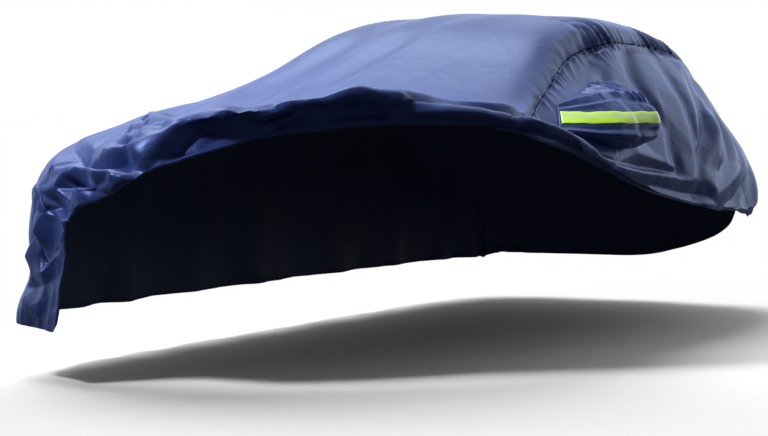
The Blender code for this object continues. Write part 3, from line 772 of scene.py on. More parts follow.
@dataclass
class Creasing:
    """The small relief of the cloth: creases, seam gathers, crumples and faint drape."""

    form: CoverForm
    creases: list = field(default_factory=lambda: CREASES)
    gathers: list = field(default_factory=lambda: GATHERS)
    pleat: float = 0.034
    seam_groove: float = 0.004
    seam_half_width: float = 0.012
    crumple: float = 0.0028
    # shares of the raised hem's length from the right, and how crumpled the cloth is there
    crumpled: tuple = ((0.30, 1.0), (0.42, 0.6), (0.55, 0.4), (0.65, 0.5))
    drape: float = 0.007
    # hanging folds begin below this height, and are full at full_at
    free_below: float = 0.85
    full_at: float = 0.25
    taut_wave: float = 0.0012

    def __post_init__(self) -> None:
        """Lays out the facets."""
        self.facets = Facets(self.form)

    def pleats(self, section: Array, column: Array, base: Array) -> Array:
        """Finds the pleats that the two long seams draw into the cloth.

        Args:
            section: places along the cover.
            column: places across it.
            base: the form's points there.

        Returns:
            One height for each place.
        """
        side = np.where(column < 0, -1.0, 1.0)
        seam = self.form.form(section, side * SEAM)
        away = np.linalg.norm(base - seam, axis=-1)
        rows = np.array(self.gathers)
        height, up, down = (np.interp(section, rows[:, 0], rows[:, k]) for k in (1, 2, 3))
        reach = np.where(abs(column) < SEAM, up, down)
        steps = np.linspace(0, TAIL, 1600)
        line = self.form.form(steps, np.full_like(steps, SEAM))
        run = np.interp(section, steps, run_along(line)) + 0.25 * away * np.sin(section * 5.1)
        # no two pleats have the same spacing, height or reach
        phase = run / self.pleat + 0.9 * np.sin(run * 9.0) + 0.6 * np.sin(run * 23.0 + side)
        waves = 1 - 2 * abs(np.sin(np.pi * phase / 2)) ** 0.8
        uneven = 0.65 + 0.35 * np.sin(run * 31.0 + 2.0 * side) * np.sin(run * 7.3)
        fade = np.exp(-((away / (reach * (0.75 + 0.25 * np.sin(phase * 1.7)))) ** 1.2))
        groove = self.seam_groove * np.exp(-((away / self.seam_half_width) ** 2))
        return height * waves * uneven * fade - groove

    def crumples(self, base: Array) -> Array:
        """Finds the crumples of the slack cloth in the roll and the hanging corner.

        Args:
            base: points of the form.

        Returns:
            One height for each point.
        """
        distance, index = self.form.from_edge(base)
        reach = np.clip(self.form.edge.setback[index], 0.06, 0.2) * 1.6
        share = index / self.form.edge_steps
        strength = np.interp(share, *zip(*self.crumpled))
        mask = strength * np.exp(-((np.maximum(distance, 0) / reach) ** 2))
        coarse = ridged(base, (0.11, 0.11, 0.11), 3.7)
        fine = ridged(base, (0.05, 0.05, 0.05), 11.3)
        return self.crumple * mask * (coarse + 0.45 * fine)

    def hanging(self, base: Array) -> Array:
        """Finds the soft upright folds of cloth that hangs free, which grow towards its hem.

        Args:
            base: points of the form.

        Returns:
            One height for each point.
        """
        depth = (self.free_below - base[..., 2]) / (self.free_below - self.full_at)
        low = np.clip(depth, 0, 1) ** 1.3
        broad = soft_noise(base, (0.16, 0.16, 0.9), 5.2)
        narrow = ridged(base, (0.09, 0.09, 0.5), 8.1)
        taut = ridged(base, (0.5, 1.3, 0.5), 2.4)
        return self.drape * low * (broad + 0.35 * narrow) + self.taut_wave * taut

    def heights(self, section: Array, column: Array, base: Array) -> Array:
        """Adds up all the small relief.

        Args:
            section: places along the cover.
            column: places across it.
            base: the form's points there.

        Returns:
            One height for each place.
        """
        total = sum(self.form.fold_height(base, crease, 1.5) for crease in self.creases)
        total = total + self.pleats(section, column, base) + self.facets.heights(section, column)
        return total + self.crumples(base) + self.hanging(base)


def linear(hex_colour: str) -> tuple:
    """Turns an sRGB hex colour into linear light, with an alpha of 1."""
    parts = [int(hex_colour[i:i + 2], 16) / 255 for i in (1, 3, 5)]
    light = [p / 12.92 if p <= 0.04045 else ((p + 0.055) / 1.055) ** 2.4 for p in parts]
    return (*light, 1.0)


def add_object(name: str, data: bpy.types.ID) -> bpy.types.Object:
    """Adds an object with its data to the scene."""
    added = bpy.data.objects.new(name, data)
    bpy.context.scene.collection.objects.link(added)
    return added


def feed(node: bpy.types.Node, inputs: dict[Union[str, int], Setting]) -> None:
    """Sets or links a node's inputs.

    Args:
        node: the node.
        inputs: for each input, the socket that feeds it or its own value.
    """
    for name, value in inputs.items():
        if isinstance(value, bpy.types.NodeSocket):
            node.id_data.links.new(value, node.inputs[name])
        else:
            node.inputs[name].default_value = value


def add_node(
    tree: bpy.types.NodeTree,
    kind: str,
    settings: Optional[dict] = None,
    inputs: Optional[dict[Union[str, int], Setting]] = None,
) -> bpy.types.Node:
    """Adds a node with its settings and links.

    Args:
        tree: the node tree.
        kind: the node's type.
        settings: its properties.
        inputs: for each input, the socket that feeds it or its own value.

    Returns:
        The node.
    """
    node = tree.nodes.new(kind)
    for name, value in (settings or {}).items():
        setattr(node, name, value)
    feed(node, inputs or {})
    return node


def calculate(tree: bpy.types.NodeTree, operation: str, *values: Setting) -> bpy.types.NodeSocket:
    """Adds a math node and gives its result."""
    node = add_node(tree, "ShaderNodeMath", {"operation": operation}, dict(enumerate(values)))
    return node.outputs["Value"]


def bump(
    tree: bpy.types.NodeTree,
    height: bpy.types.NodeSocket,
    strength: float,
    distance: float,
    under: Optional[bpy.types.NodeSocket] = None,
) -> bpy.types.NodeSocket:
    """Presses a height into a surface.

    Args:
        tree: the node tree.
        height: the height.
        strength: how much of it shows, up to 1.
        distance: its depth in metres.
        under: the normal that it lies on, if any.

    Returns:
        The normal.
    """
    inputs = {"Height": height, "Strength": strength, "Distance": distance}
    if under is not None:
        inputs["Normal"] = under
    return add_node(tree, "ShaderNodeBump", None, inputs).outputs["Normal"]


def new_material(name: str) -> tuple[bpy.types.Material, bpy.types.Node]:
    """Makes a material, and gives it with its Principled shader."""
    material = bpy.data.materials.new(name)
    material.use_nodes = True
    return material, material.node_tree.nodes["Principled BSDF"]


@dataclass(frozen=True)
class CoatedTaffeta:
    """Polyester taffeta, plain woven, calendered and coated: a satin face with a broad sheen.

    Its threads are 0.25 mm apart, too fine to show, so the weave is drawn at 2.4 mm. The thin
    coating bends light little, and turns the gloss bluer at grazing angles.
    """

    name: str = "coated_polyester_taffeta_face"
    colour: str = "#222d56"
    faded: str = "#2a3765"
    roughness: float = 0.36
    ior: float = 1.55
    gloss_colour: str = "#96acf2"
    gloss: float = 0.5
    coating: str = "#eaf2ff"
    coating_ior: float = 1.05
    sheen: float = 0.4
    sheen_colour: str = "#7f9cf0"
    sheen_roughness: float = 0.35
    thread_mm: float = 2.4
    thread_depth_mm: float = 0.6
    crinkle_mm: float = 38.0
    crinkle_depth_mm: float = 4.0
    groove_half_mm: float = 2.2
    groove_depth_mm: float = 2.0
    stitch_scale: float = 12.0

    def make(self) -> bpy.types.Material:
        """Makes the material: weave, stitching, crinkle, faint fading and the coating's gloss.

        Returns:
            The material.
        """
        material, shader = new_material(self.name)
        tree = material.node_tree
        place = add_node(tree, "ShaderNodeTexCoord")
        fading = add_node(tree, "ShaderNodeTexNoise", None, {
            "Vector": place.outputs["Object"], "Scale": 2.2, "Detail": 3.0, "Roughness": 0.6,
        })
        colour = add_node(tree, "ShaderNodeMix", {"data_type": "RGBA"}, {
            "Factor": fading.outputs["Fac"], 6: linear(self.colour), 7: linear(self.faded),
        })
        crinkle = add_node(tree, "ShaderNodeTexNoise", {"noise_type": "RIDGED_MULTIFRACTAL"}, {
            "Vector": place.outputs["Object"], "Scale": 1000 / self.crinkle_mm / 4,
            "Detail": 4.0, "Roughness": 0.55, "Lacunarity": 2.1, "Offset": 0.9, "Gain": 1.6,
        })
        soft = bump(tree, crinkle.outputs["Fac"], 0.22, self.crinkle_depth_mm / 1000)
        waves = [
            add_node(tree, "ShaderNodeTexWave", {"bands_direction": direction}, {
                "Vector": place.outputs["UV"], "Scale": 1000 / self.thread_mm / 20,
                "Distortion": 0.6, "Detail": 1.0,
            })
            for direction in ("X", "Y")
        ]
        weave = calculate(tree, "MULTIPLY", *(wave.outputs["Fac"] for wave in waves))
        woven = bump(tree, weave, 0.10, self.thread_depth_mm / 1000, soft)
        feed(shader, {
            "Base Color": colour.outputs[2],
            "Normal": self.stitched(tree, place, woven),
            "Roughness": self.roughness,
            "IOR": self.ior,
            "Specular IOR Level": self.gloss,
            "Specular Tint": linear(self.gloss_colour),
            "Coat Weight": 1.0,
            "Coat Roughness": self.roughness,
            "Coat IOR": self.coating_ior,
            "Coat Tint": linear(self.coating),
            "Sheen Weight": self.sheen,
            "Sheen Roughness": self.sheen_roughness,
            "Sheen Tint": linear(self.sheen_colour),
        })
        return material

    def stitched(
        self, tree: bpy.types.NodeTree, place: bpy.types.Node, under: bpy.types.NodeSocket
    ) -> bpy.types.NodeSocket:
        """Presses the line of stitches along each hem into the cloth.

        Args:
            tree: the node tree.
            place: the texture coordinates.
            under: the normal that the stitches lie on.

        Returns:
            The normal with the stitches.
        """
        hem = add_node(tree, "ShaderNodeAttribute", {"attribute_name": "to_stitches"})
        line = calculate(tree, "COMPARE", hem.outputs["Fac"], 0.0, self.groove_half_mm / 1000)
        dashes = add_node(tree, "ShaderNodeTexWave", {"bands_direction": "DIAGONAL"}, {
            "Vector": place.outputs["UV"], "Scale": self.stitch_scale,
        })
        groove = calculate(tree, "MULTIPLY_ADD", dashes.outputs["Fac"], 0.6, -1.0)
        height = calculate(tree, "MULTIPLY", line, groove)
        return bump(tree, height, 0.7, self.groove_depth_mm / 1000, under)


@dataclass(frozen=True)
class TaffetaBack:
    """The coated back of the taffeta: a matt, darker navy that gives the hollow its depth."""

    name: str = "coated_polyester_taffeta_back"
    colour: str = "#26345f"
    roughness: float = 0.62

    def make(self) -> bpy.types.Material:
        """Makes the material: plain, with a fine grain."""
        material, shader = new_material(self.name)
        tree = material.node_tree
        place = add_node(tree, "ShaderNodeTexCoord")
        grain = add_node(tree, "ShaderNodeTexNoise", None, {
            "Vector": place.outputs["Object"], "Scale": 60.0, "Detail": 3.0,
        })
        feed(shader, {
            "Base Color": linear(self.colour),
            "Roughness": self.roughness,
            "Normal": bump(tree, grain.outputs["Fac"], 0.15, 0.001),
        })
        return material


@dataclass(frozen=True)
class ReflectiveTape:
    """Glass-bead reflective tape on woven polyester: vivid yellow-green with a grey centre band.

    Its hexagonal cells are 3 mm across and show as a faint sparkle.
    """

    name: str = "reflective_tape_woven"
    colour: str = "#c2fb34"
    band: str = "#cbd6b8"
    band_middle_mm: float = 28.5
    band_half_mm: float = 5.5
    band_rag_mm: float = 10.0
    roughness: float = 0.3
    lacquer: float = 0.4
    lacquer_roughness: float = 0.15
    cell_mm: float = 3.0

    def make(self) -> bpy.types.Material:
        """Makes the material: cells, the centre band and its ragged silver.

        Returns:
            The material.
        """
        material, shader = new_material(self.name)
        tree = material.node_tree
        place = add_node(tree, "ShaderNodeTexCoord")
        split = add_node(tree, "ShaderNodeSeparateXYZ", None, {0: place.outputs["UV"]})
        ragged = add_node(tree, "ShaderNodeTexNoise", None, {
            "Vector": place.outputs["UV"], "Scale": 140.0, "Detail": 2.0,
        })
        middle, half, rag = (
            size / 1000 for size in (self.band_middle_mm, self.band_half_mm, self.band_rag_mm)
        )
        across = calculate(
            tree, "MULTIPLY_ADD", ragged.outputs["Fac"], rag, split.outputs["Y"]
        )
        colour = add_node(tree, "ShaderNodeMix", {"data_type": "RGBA"}, {
            "Factor": calculate(tree, "COMPARE", across, middle, half),
            6: linear(self.colour), 7: linear(self.band),
        })
        cells = add_node(tree, "ShaderNodeTexVoronoi", {"feature": "DISTANCE_TO_EDGE"}, {
            "Vector": place.outputs["UV"], "Scale": 1000 / self.cell_mm, "Randomness": 0.3,
        })
        feed(shader, {
            "Base Color": colour.outputs[2],
            "Normal": bump(tree, cells.outputs["Distance"], 0.3, 0.0005),
            "Roughness": self.roughness,
            "Coat Weight": self.lacquer,
            "Coat Roughness": self.lacquer_roughness,
        })
        return material


@dataclass
class Finishes:
    """The finishes that the pieces share."""

    face: bpy.types.Material
    back: bpy.types.Material
    tape: bpy.types.Material


@dataclass
class Cloth:
    """A sheet of cloth over a grid of points."""

    name: str
    points: Array
    normals: Array
    finishes: Finishes
    thickness: float = 0.0012
    cut: Optional[Array] = None
    to_stitches: Optional[Array] = None

    def lengths(self) -> Array:
        """Measures for each point how far along and across the grid it is, in metres."""
        rows, columns = self.points.shape[:2]
        u, v = run_along(self.points[:, columns // 2]), run_along(self.points[rows // 2])
        return np.stack(np.broadcast_arrays(u[:, None], v[None, :]), -1)

    def cells(self) -> Array:
        """Lists the grid's cells, less those that are cut out.

        Returns:
            Four point numbers for each cell.
        """
        rows, columns = self.points.shape[:2]
        number = np.arange(rows * columns).reshape(rows, columns)
        corners = [number[:-1, :-1], number[1:, :-1], number[1:, 1:], number[:-1, 1:]]
        cells = np.stack(corners, -1)
        if self.cut is not None:
            cells = cells[~self.cut]
        return cells.reshape(-1, 4)

    def make(self) -> bpy.types.Object:
        """Makes the sheet with both its faces.

        Returns:
            The object, in the part's frame.
        """
        cells = self.cells()
        middle = np.cross(
            self.points[1:, 1:] - self.points[:-1, :-1], self.points[:-1, 1:] - self.points[1:, :-1]
        )
        if np.sum(middle * self.normals[1:, 1:]) < 0:
            cells = cells[:, ::-1]
        used, cells = np.unique(cells, return_inverse=True)
        cells = cells.reshape(-1, 4)
        mesh = bpy.data.meshes.new(self.name)
        flat = (self.points.reshape(-1, 3) - CROWN)[used]
        mesh.from_pydata(flat.tolist(), [], cells.tolist())
        layer = mesh.uv_layers.new(name="metres")
        uv = self.lengths().reshape(-1, 2)[used]
        layer.data.foreach_set("uv", uv[cells.ravel()].astype(np.float32).ravel())
        if self.to_stitches is not None:
            stitches = mesh.attributes.new("to_stitches", "FLOAT", "POINT")
            values = self.to_stitches.reshape(-1)[used].astype(np.float32)
            stitches.data.foreach_set("value", values)
        mesh.shade_smooth()
        mesh.materials.append(self.finishes.face)
        mesh.materials.append(self.finishes.back)
        piece = add_object(self.name, mesh)
        solid = piece.modifiers.new("thickness", "SOLIDIFY")
        solid.thickness = self.thickness
        solid.offset = -1.0
        solid.material_offset = 1
        return piece


def spaced(count: int, density: tuple) -> Array:
    """Makes shares from 0 to 1, closer together where the density is higher.

    Args:
        count: the number of steps between them.
        density: pairs of a share and the density there.

    Returns:
        The shares, one more than the steps.
    """
    at, weight = np.array(density).T
    fine = np.linspace(0, 1, 4001)
    total = np.concatenate([[0], np.cumsum(np.interp((fine[1:] + fine[:-1]) / 2, at, weight))])
    return np.interp(np.linspace(0, total[-1], count + 1), total, fine)


def run_along(line: Array) -> Array:
    """Measures how far along a line each of its points is, in metres."""
    return np.concatenate([[0], np.cumsum(np.linalg.norm(np.diff(line, axis=0), axis=1))])


def turn_under(points: Array, normals: Array) -> Array:
    """Turns the first row of a grid under as a rolled hem, which narrows near the corners.

    Args:
        points: a grid of points.
        normals: the unit normals of its first row.

    Returns:
        The grid with the hem's rows before its first.
    """
    out = unit(points[0] - points[1])
    run = run_along(points[0])
    corner = 0.03
    radius = np.clip(np.minimum(run, run[-1] - run) / corner, 0.06, 1)[:, None] * HEM_RADIUS
    angles = np.linspace(1.25 * np.pi, 0, HEM_ROWS, endpoint=False)
    rows = [
        points[0] + out * radius * math.sin(a) - normals * radius * (1 - math.cos(a))
        for a in angles
    ]
    return np.concatenate([np.array(rows), points])


class PanelCut(NamedTuple):
    """A panel's grid, and which are hems of its first and last row and first and last column."""

    section: Array
    column: Array
    hems: tuple


@dataclass
class Panel:
    """One of the cover's three large panels."""

    form: CoverForm
    creasing: Creasing
    finishes: Finishes
    name: str
    node: str
    flat: tuple
    area: float
    rows: int
    columns: int
    density: tuple
    has_mouth: bool = True

    def cut(self) -> PanelCut:
        """Lays out the panel's grid.

        Returns:
            Its places and hems.
        """
        raise NotImplementedError

    def spread(self, front: Array, rear: Union[Array, float]) -> Array:
        """Spreads the panel's rows between a front and a rear section for each column."""
        return front + spaced(self.rows, self.density)[:, None] * (rear - front)

    def tucked(self, column: Array) -> Array:
        """Finds how far a panel is tucked under the top one, which laps it at the seam."""
        depth = 0.004
        return depth * np.clip((SEAM + SEAM_LAP - abs(column)) / SEAM_LAP, 0, 1)

    def stitch_distance(self, points: Array, hems: tuple) -> Array:
        """Measures how far each point is from the line of stitches inside the nearest hem.

        Args:
            points: the panel's points.
            hems: which edges are hems.

        Returns:
            One distance for each point, in metres, and 1 where there is no hem.
        """
        result = np.ones(points.shape[:2])
        edges = [(points, 0), (points[::-1], 0), (points, 1), (points[:, ::-1], 1)]
        for k, (grid, axis) in enumerate(edges):
            if not hems[k]:
                continue
            steps = np.linalg.norm(np.diff(grid, axis=axis), axis=-1)
            zero = np.zeros_like(steps[:1] if axis == 0 else steps[:, :1])
            away = np.concatenate([zero, np.cumsum(steps, axis=axis)], axis=axis) - STITCH_INSET
            away = away[::-1] if k == 1 else away[:, ::-1] if k == 3 else away
            result = np.where(abs(away) < abs(result), away, result)
        return result

    def build(self) -> bpy.types.Object:
        """Builds the panel's cloth.

        Returns:
            The panel.
        """
        section, column, hems = self.cut()
        base = self.form.form(section, column)
        rough = self.form.outward(section, column)
        points = self.form.cloth(section, column)
        # the small relief stands on softened normals, so that sharp folds don't cross
        normals = unit(softened(grid_normals(points, rough), 5))
        heights = self.creasing.heights(section, column, base)
        points = points + normals * (heights - self.tucked(column))[..., None]
        normals = grid_normals(points, normals)
        cut = None
        if self.has_mouth:
            inside = (section > MOUTH_SECTIONS[0]) & (section < MOUTH_SECTIONS[1])
            inside &= (abs(column) > MOUTH_COLUMNS[0]) & (abs(column) < MOUTH_COLUMNS[1])
            cut = inside[1:, 1:] & inside[:-1, :-1]
        stitches = self.stitch_distance(points, hems)
        points, normals, cut, stitches = self.turn_hems(points, normals, (cut, stitches), hems)
        return Cloth(
            self.name, points, normals, self.finishes, cut=cut, to_stitches=stitches
        ).make()

    def turn_hems(self, points: Array, normals: Array, maps: tuple, hems: tuple) -> tuple:
        """Turns every hem of the panel under.

        Args:
            points: the panel's points.
            normals: its normals.
            maps: the cells left out, if any, and the values of each point.
            hems: which edges are hems.

        Returns:
            The points, the normals and the maps, with the hems' rows and columns added.
        """
        def turned(grid: Array, k: int) -> Array:
            """Brings hem k to the first row."""
            grid = grid.swapaxes(0, 1) if k > 1 else grid
            return grid[::-1] if k % 2 else grid

        def back(grid: Array, k: int) -> Array:
            """Undoes turned."""
            grid = grid[::-1] if k % 2 else grid
            return grid.swapaxes(0, 1) if k > 1 else grid

        def widened(grid: Optional[Array], k: int) -> Optional[Array]:
            """Repeats the values at hem k over its turn."""
            if grid is None:
                return None
            there = turned(grid, k)
            return back(np.concatenate([there[:1]] * HEM_ROWS + [there]), k)

        maps = list(maps)
        for k, is_hem in enumerate(hems):
            if not is_hem:
                continue
            points = back(turn_under(turned(points, k), turned(normals, k)[0]), k)
            normals = widened(normals, k)
            maps = [widened(grid, k) for grid in maps]
        return (points, normals, *maps)

    def dress(self, piece: bpy.types.Object) -> None:
        """Puts the panel's object on the frame."""
        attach(piece, "root")
        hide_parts(self.node)


@dataclass
class TopPanel(Panel):
    """The panel over the top, from the raised hem across the front to the tail."""

    name: str = "top_cloth"
    node: str = "top_panel"
    flat: tuple = (1.62, 4.9)
    area: float = 7.0
    rows: int = 294
    columns: int = 162
    density: tuple = (
        (0, 3.2), (0.11, 3.2), (0.15, 1), (0.38, 0.9), (0.42, 3), (0.66, 3), (0.7, 1), (1, 0.8),
    )
    has_mouth: bool = False

    def tucked(self, column: Array) -> Array:
        """Leaves the top panel where it is, over the others."""
        return np.zeros_like(column)

    def cut(self) -> PanelCut:
        """Lays out the grid from seam to seam, a little closer near the seams."""
        share = np.linspace(-1, 1, self.columns + 1)
        column = SEAM * np.sign(share) * (1 - (1 - abs(share)) ** 1.12)
        front = self.form.front_section(column)
        rear = TAIL - (TAIL - TAIL_LEFT) * np.clip(column / SEAM, 0, 1) ** 2
        section = self.spread(front, rear)
        return PanelCut(section, np.broadcast_to(column, section.shape), (1, 1, 0, 0))


@dataclass
class RightSidePanel(Panel):
    """The full-length side, from the seam to the hem near the ground."""

    name: str = "right_side_cloth"
    node: str = "right_side_panel"
    flat: tuple = (1.15, 4.7)
    area: float = 4.4
    rows: int = 340
    columns: int = 136
    density: tuple = ((0, 2.6), (0.13, 2.6), (0.17, 1), (1, 1))

    def cut(self) -> PanelCut:
        """Lays out the grid from the full hem up to the seam."""
        seam = SEAM - SEAM_LAP
        column = -seam - (HEM - seam) * np.linspace(0, 1, self.columns + 1)[::-1]
        section = self.spread(self.form.front_section(column), TAIL)
        return PanelCut(section, np.broadcast_to(column, section.shape), (1, 1, 1, 0))


@dataclass
class LeftSidePanel(Panel):
    """The side that is drawn up in a swag."""

    name: str = "left_side_cloth"
    node: str = "left_side_panel"
    flat: tuple = (0.95, 4.0)
    area: float = 2.2
    rows: int = 425
    columns: int = 110
    density: tuple = ((0, 1.3), (1, 1))

    def cut(self) -> PanelCut:
        """Lays out the grid from the seam to the raised hem."""
        share = np.linspace(0, 1, self.columns + 1)
        last = self.form.left_column(LEFT_CORNER)
        seam = SEAM - SEAM_LAP
        front = self.form.front_section(seam + (last - seam) * share)
        section = self.spread(front, TAIL_LEFT)
        hem = self.form.left_column(section[:, -1])[:, None]
        return PanelCut(section, seam + (hem - seam) * share, (1, 1, 0, 1))


@dataclass
class MirrorPouch:
    """A ruched pouch sewn over the opening in a side panel, with its reflective strip.

    It leans forward and up by the shares sweep and lift of its depth. The strip lies between two
    heights above the ground, and the bands count the columns above, under and below it.
    """

    form: CoverForm
    creasing: Creasing
    finishes: Finishes
    side: Side
    sweep: float = -0.12
    lift: float = 0.02
    ribs: int = 120
    bands: tuple = (36, 14, 30)
    strip_top: float = 1.000
    strip_foot: float = 0.953
    strip_reach: float = 0.91
    strip_rise: float = 0.0022
    pleats: int = 9
    pleat_height: float = 0.017
    crumple: float = 0.002

    def curves(self) -> Array:
        """Shapes the pouch's cross sections as dense curves.

        Returns:
            A grid of points, from its front end to its rear end.
        """
        at = np.linspace(0, len(POUCH) - 1, self.ribs + 1)
        ribs = Rib(*spline(POUCH, at).T[:, :, None])
        turn = np.linspace(0, np.pi, 181)
        share = (1 - np.cos(turn)) / 2
        sign = self.side.value
        section = ribs.upper_section + (ribs.lower_section - ribs.upper_section) * share
        column = sign * (ribs.upper + (ribs.lower - ribs.upper) * share)
        base = self.form.cloth(section, column)
        ends = [
            self.creasing.heights(*np.broadcast_arrays(s, c), self.form.form(s, c))
            for s, c in ((section[:, [k]], column[:, [k]]) for k in (0, -1))
        ]
        rise = 0.003 + ends[0] + (ends[1] - ends[0]) * share
        base = base + self.form.outward(section, column) * rise[..., None]
        bulge = (ribs.depth * np.sin(turn) ** 0.75)[..., None]
        return base + bulge * np.array([sign, self.sweep, self.lift])

    def grid(self) -> Array:
        """Spaces the curves so that the strip's band runs level.

        Returns:
            The pouch's grid of points.
        """
        rows = []
        for rib in self.curves():
            number = np.arange(len(rib))
            front = max(int(np.argmax(rib[:, 2])), 1)
            top = np.interp(-self.strip_top, -rib[front:, 2], number[front:])
            foot = np.interp(-self.strip_foot, -rib[front:, 2], number[front:])
            stops = (0, top, foot, len(rib) - 1)
            at = [
                np.linspace(stops[i], stops[i + 1], count, endpoint=False)
                for i, count in enumerate(self.bands)
            ]
            at = np.concatenate(at + [[stops[-1]]])
            rows.append(np.stack([np.interp(at, number, rib[:, k]) for k in range(3)], -1))
        return np.array(rows)

    def ruching(self, points: Array) -> Array:
        """Finds the small pleats that its sewn rim draws into the pouch.

        Args:
            points: the pouch's grid.

        Returns:
            One height for each point.
        """
        rows, columns = points.shape[:2]
        along = np.linspace(0, 1, rows)[:, None]
        across = np.linspace(0, 1, columns)[None, :]
        rear = np.clip((along - 0.4) / 0.2, 0, 1) * np.clip((1 - along) / 0.1, 0, 1)
        phase = along * self.pleats + 0.8 * np.sin(along * 17) + 1.5 * across
        pleats = 1 - 2 * abs(np.sin(np.pi * phase))
        total = self.pleat_height * rear * pleats * np.exp(-((across / 0.22) ** 2))
        for fold in POUCH_FOLDS:
            centre = fold.front + (fold.rear - fold.front) * along + 0.02 * np.sin(along * 9)
            ridge = np.exp(-abs((across - centre) / fold.width) ** 1.5)
            total = total + fold.height * ridge * np.sin(np.pi * along) ** 0.5
        small = ridged(points, (0.09, 0.09, 0.05), 6.6) * self.crumple
        calm = 1 - np.exp(-(((across - 0.54) / 0.13) ** 4))
        return calm * (total + small)

    def build(self) -> tuple:
        """Builds the pouch and its strip.

        Returns:
            The two objects.
        """
        sign = self.side.value
        points = self.grid()
        rough = np.zeros_like(points) + np.array([sign, 0, 0])
        normals = grid_normals(points, rough)
        points = points + normals * self.ruching(points)[..., None]
        name = self.side.name.lower()
        pouch = Cloth(
            f"{name}_ruched_mirror_pouch", points, normals, self.finishes,
            to_stitches=np.ones(points.shape[:2]),
        ).make()
        band = slice(self.bands[0], self.bands[0] + self.bands[1] + 1)
        reach = slice(2, int(self.ribs * self.strip_reach))
        tape = self.tape(points[reach, band], normals[reach, band], name)
        return pouch, tape

    def tape(self, points: Array, normals: Array, name: str) -> bpy.types.Object:
        """Lays the reflective strip on the pouch.

        Args:
            points: the pouch's points under it.
            normals: its normals there.
            name: the side's name.

        Returns:
            The strip.
        """
        along = np.linspace(0, 1, len(points))[:, None]
        across = np.linspace(-1, 1, points.shape[1])[None, :]
        wave = 0.0012 * np.sin(along * 21) + 0.0008 * np.sin(along * 47 + 1)
        lifted = points + normals * (self.strip_rise + 0.0008 * (1 - across**2))[..., None]
        lifted[..., 2] += wave * abs(across)
        finishes = replace(self.finishes, face=self.finishes.tape)
        return Cloth(f"{name}_reflective_tape", lifted, normals, finishes).make()

    def dress(self, pouch: bpy.types.Object, tape: bpy.types.Object) -> None:
        """Puts the pouch and its strip on the frame.

        Args:
            pouch: the pouch.
            tape: the strip.
        """
        name = self.side.name.lower()
        for piece, node, slot in (
            (pouch, f"{name}_mirror_pouch", "coated_polyester"),
            (tape, f"{name}_reflective_strip", "reflective_tape"),
        ):
            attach(piece, "root")
            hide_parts(node)


@dataclass(frozen=True)
class Softbox:
    """A soft rectangular light: where it hangs, the point it faces, its size, power and spread."""

    name: str
    place: tuple
    aim: tuple
    size: tuple
    watts: float
    spread: float

    def hang(self) -> None:
        """Hangs the light."""
        lamp = bpy.data.lights.new(self.name, "AREA")
        lamp.shape = "RECTANGLE"
        lamp.size, lamp.size_y = self.size
        lamp.energy = self.watts
        lamp.spread = math.radians(self.spread)
        light = add_object(self.name, lamp)
        light.location = self.place
        way = Vector(self.aim) - Vector(self.place)
        light.rotation_euler = way.to_track_quat("-Z", "Y").to_euler()


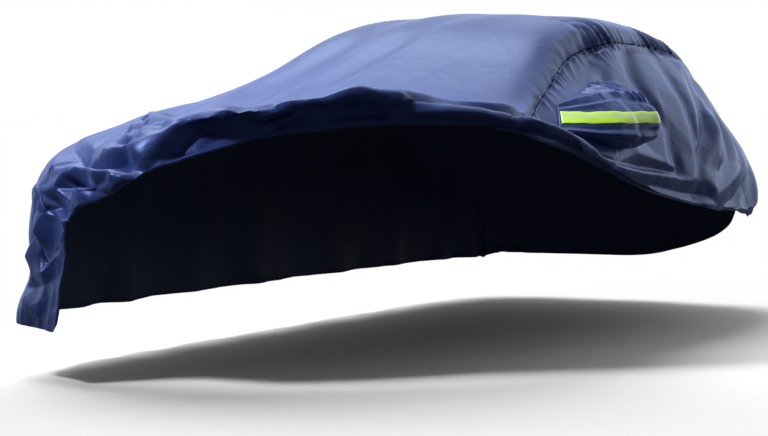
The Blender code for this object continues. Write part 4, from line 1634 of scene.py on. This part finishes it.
@dataclass(frozen=True)
class Studio:
    """The floor, the light and the camera. Angles are in degrees."""

    floor_colour: str = "#ffffff"
    floor_bounce: str = "#606060"
    floor_reach: float = 900.0
    backdrop: str = "#ffffff"
    front: float = 0.10
    back: float = 1.55
    bright_way: tuple = (-0.20, 0.95, -0.24)
    dim_end: float = -0.15
    ceiling_strength: float = 2.3
    ceiling_softness: float = 45
    ceiling_way: tuple = (0.45, -0.28, -0.85)
    fill: Softbox = Softbox(
        "front_fill", (-1.9, -4.6, 2.6), (-0.45, -1.75, -0.2), (1.2, 0.8), watts=28, spread=40
    )
    camera_place: tuple = (4.05, -8.496, -0.463)
    camera_down: float = 2.846
    camera_turn: float = 28.374
    camera_roll: float = -0.181
    lens_mm: float = 95.06
    sensor_mm: float = 36.0
    farthest: float = 2000.0

    def floor(self) -> None:
        """Lays a plain pale floor that throws little light up, so that the low folds keep depth."""
        mesh = bpy.data.meshes.new("studio_floor")
        ring = [
            (self.floor_reach * math.cos(a), self.floor_reach * math.sin(a), -CROWN[2])
            for a in np.linspace(0, 2 * math.pi, 96, endpoint=False)
        ]
        mesh.from_pydata(ring, [], [list(range(len(ring)))])
        floor = add_object("studio_floor", mesh)
        material, shader = new_material("matt_painted_floor")
        path = add_node(material.node_tree, "ShaderNodeLightPath")
        colour = add_node(material.node_tree, "ShaderNodeMix", {"data_type": "RGBA"}, {
            "Factor": path.outputs["Is Camera Ray"],
            6: linear(self.floor_bounce), 7: linear(self.floor_colour),
        })
        feed(shader, {"Base Color": colour.outputs[2], "Roughness": 0.9})
        mesh.materials.append(material)

    def world(self) -> None:
        """Sets a pale surround that is bright low down behind the cover and dim in front of it."""
        world = bpy.data.worlds.new("studio_surround")
        bpy.context.scene.world = world
        world.use_nodes = True
        tree = world.node_tree
        tree.nodes.clear()
        path = add_node(tree, "ShaderNodeLightPath")
        seen = add_node(tree, "ShaderNodeBackground", None, {
            "Color": linear(self.backdrop), "Strength": 1.0,
        })
        place = add_node(tree, "ShaderNodeTexCoord")
        nearness = add_node(tree, "ShaderNodeVectorMath", {"operation": "DOT_PRODUCT"}, {
            0: place.outputs["Generated"], 1: self.bright_way,
        })
        strength = add_node(tree, "ShaderNodeMapRange", None, {
            "Value": nearness.outputs["Value"], "From Min": self.dim_end, "From Max": 1.0,
            "To Min": self.front, "To Max": self.back,
        })
        lit = add_node(tree, "ShaderNodeBackground", None, {
            "Color": linear(self.backdrop), "Strength": strength.outputs[0],
        })
        mix = add_node(tree, "ShaderNodeMixShader", None, {
            0: path.outputs["Is Camera Ray"], 1: lit.outputs[0], 2: seen.outputs[0],
        })
        add_node(tree, "ShaderNodeOutputWorld", None, {"Surface": mix.outputs[0]})

    def lights(self) -> None:
        """Lights the cover from a broad soft ceiling, and its front right shoulder from a fill."""
        lamp = bpy.data.lights.new("soft_ceiling", "SUN")
        lamp.energy = self.ceiling_strength
        lamp.angle = math.radians(self.ceiling_softness)
        ceiling = add_object("soft_ceiling", lamp)
        ceiling.rotation_euler = Vector(self.ceiling_way).to_track_quat("-Z", "Y").to_euler()
        self.fill.hang()

    def camera(self) -> None:
        """Places the camera, solved from the picture."""
        data = bpy.data.cameras.new("camera")
        data.sensor_width = self.sensor_mm
        data.lens = self.lens_mm
        data.clip_end = self.farthest
        camera = add_object("camera", data)
        tilt, turn = math.radians(90 - self.camera_down), math.radians(self.camera_turn)
        roll = Matrix.Rotation(math.radians(self.camera_roll), 3, "Z")
        facing = (Euler((tilt, 0, turn)).to_matrix() @ roll).to_4x4()
        camera.matrix_world = Matrix.Translation(self.camera_place) @ facing
        bpy.context.scene.camera = camera

    def build(self) -> None:
        """Sets up the whole studio."""
        self.floor()
        self.world()
        self.lights()
        self.camera()
        bpy.context.scene.view_settings.view_transform = "Standard"


def main() -> None:
    """Builds and dresses the cover, then sets up the studio."""
    logging.basicConfig(level=logging.INFO)
    form = CoverForm()
    creasing = Creasing(form)
    finishes = Finishes(CoatedTaffeta().make(), TaffetaBack().make(), ReflectiveTape().make())
    for kind in (TopPanel, RightSidePanel, LeftSidePanel):
        panel = kind(form, creasing, finishes)
        piece = panel.build()
        panel.dress(piece)
        LOG.info("built %s with %d vertices", piece.name, len(piece.data.vertices))
    for side in Side:
        pouch = MirrorPouch(form, creasing, finishes, side)
        bag, tape = pouch.build()
        pouch.dress(bag, tape)
        LOG.info("built %s and %s", bag.name, tape.name)
    Studio().build()


if __name__ == "__main__":
    main()
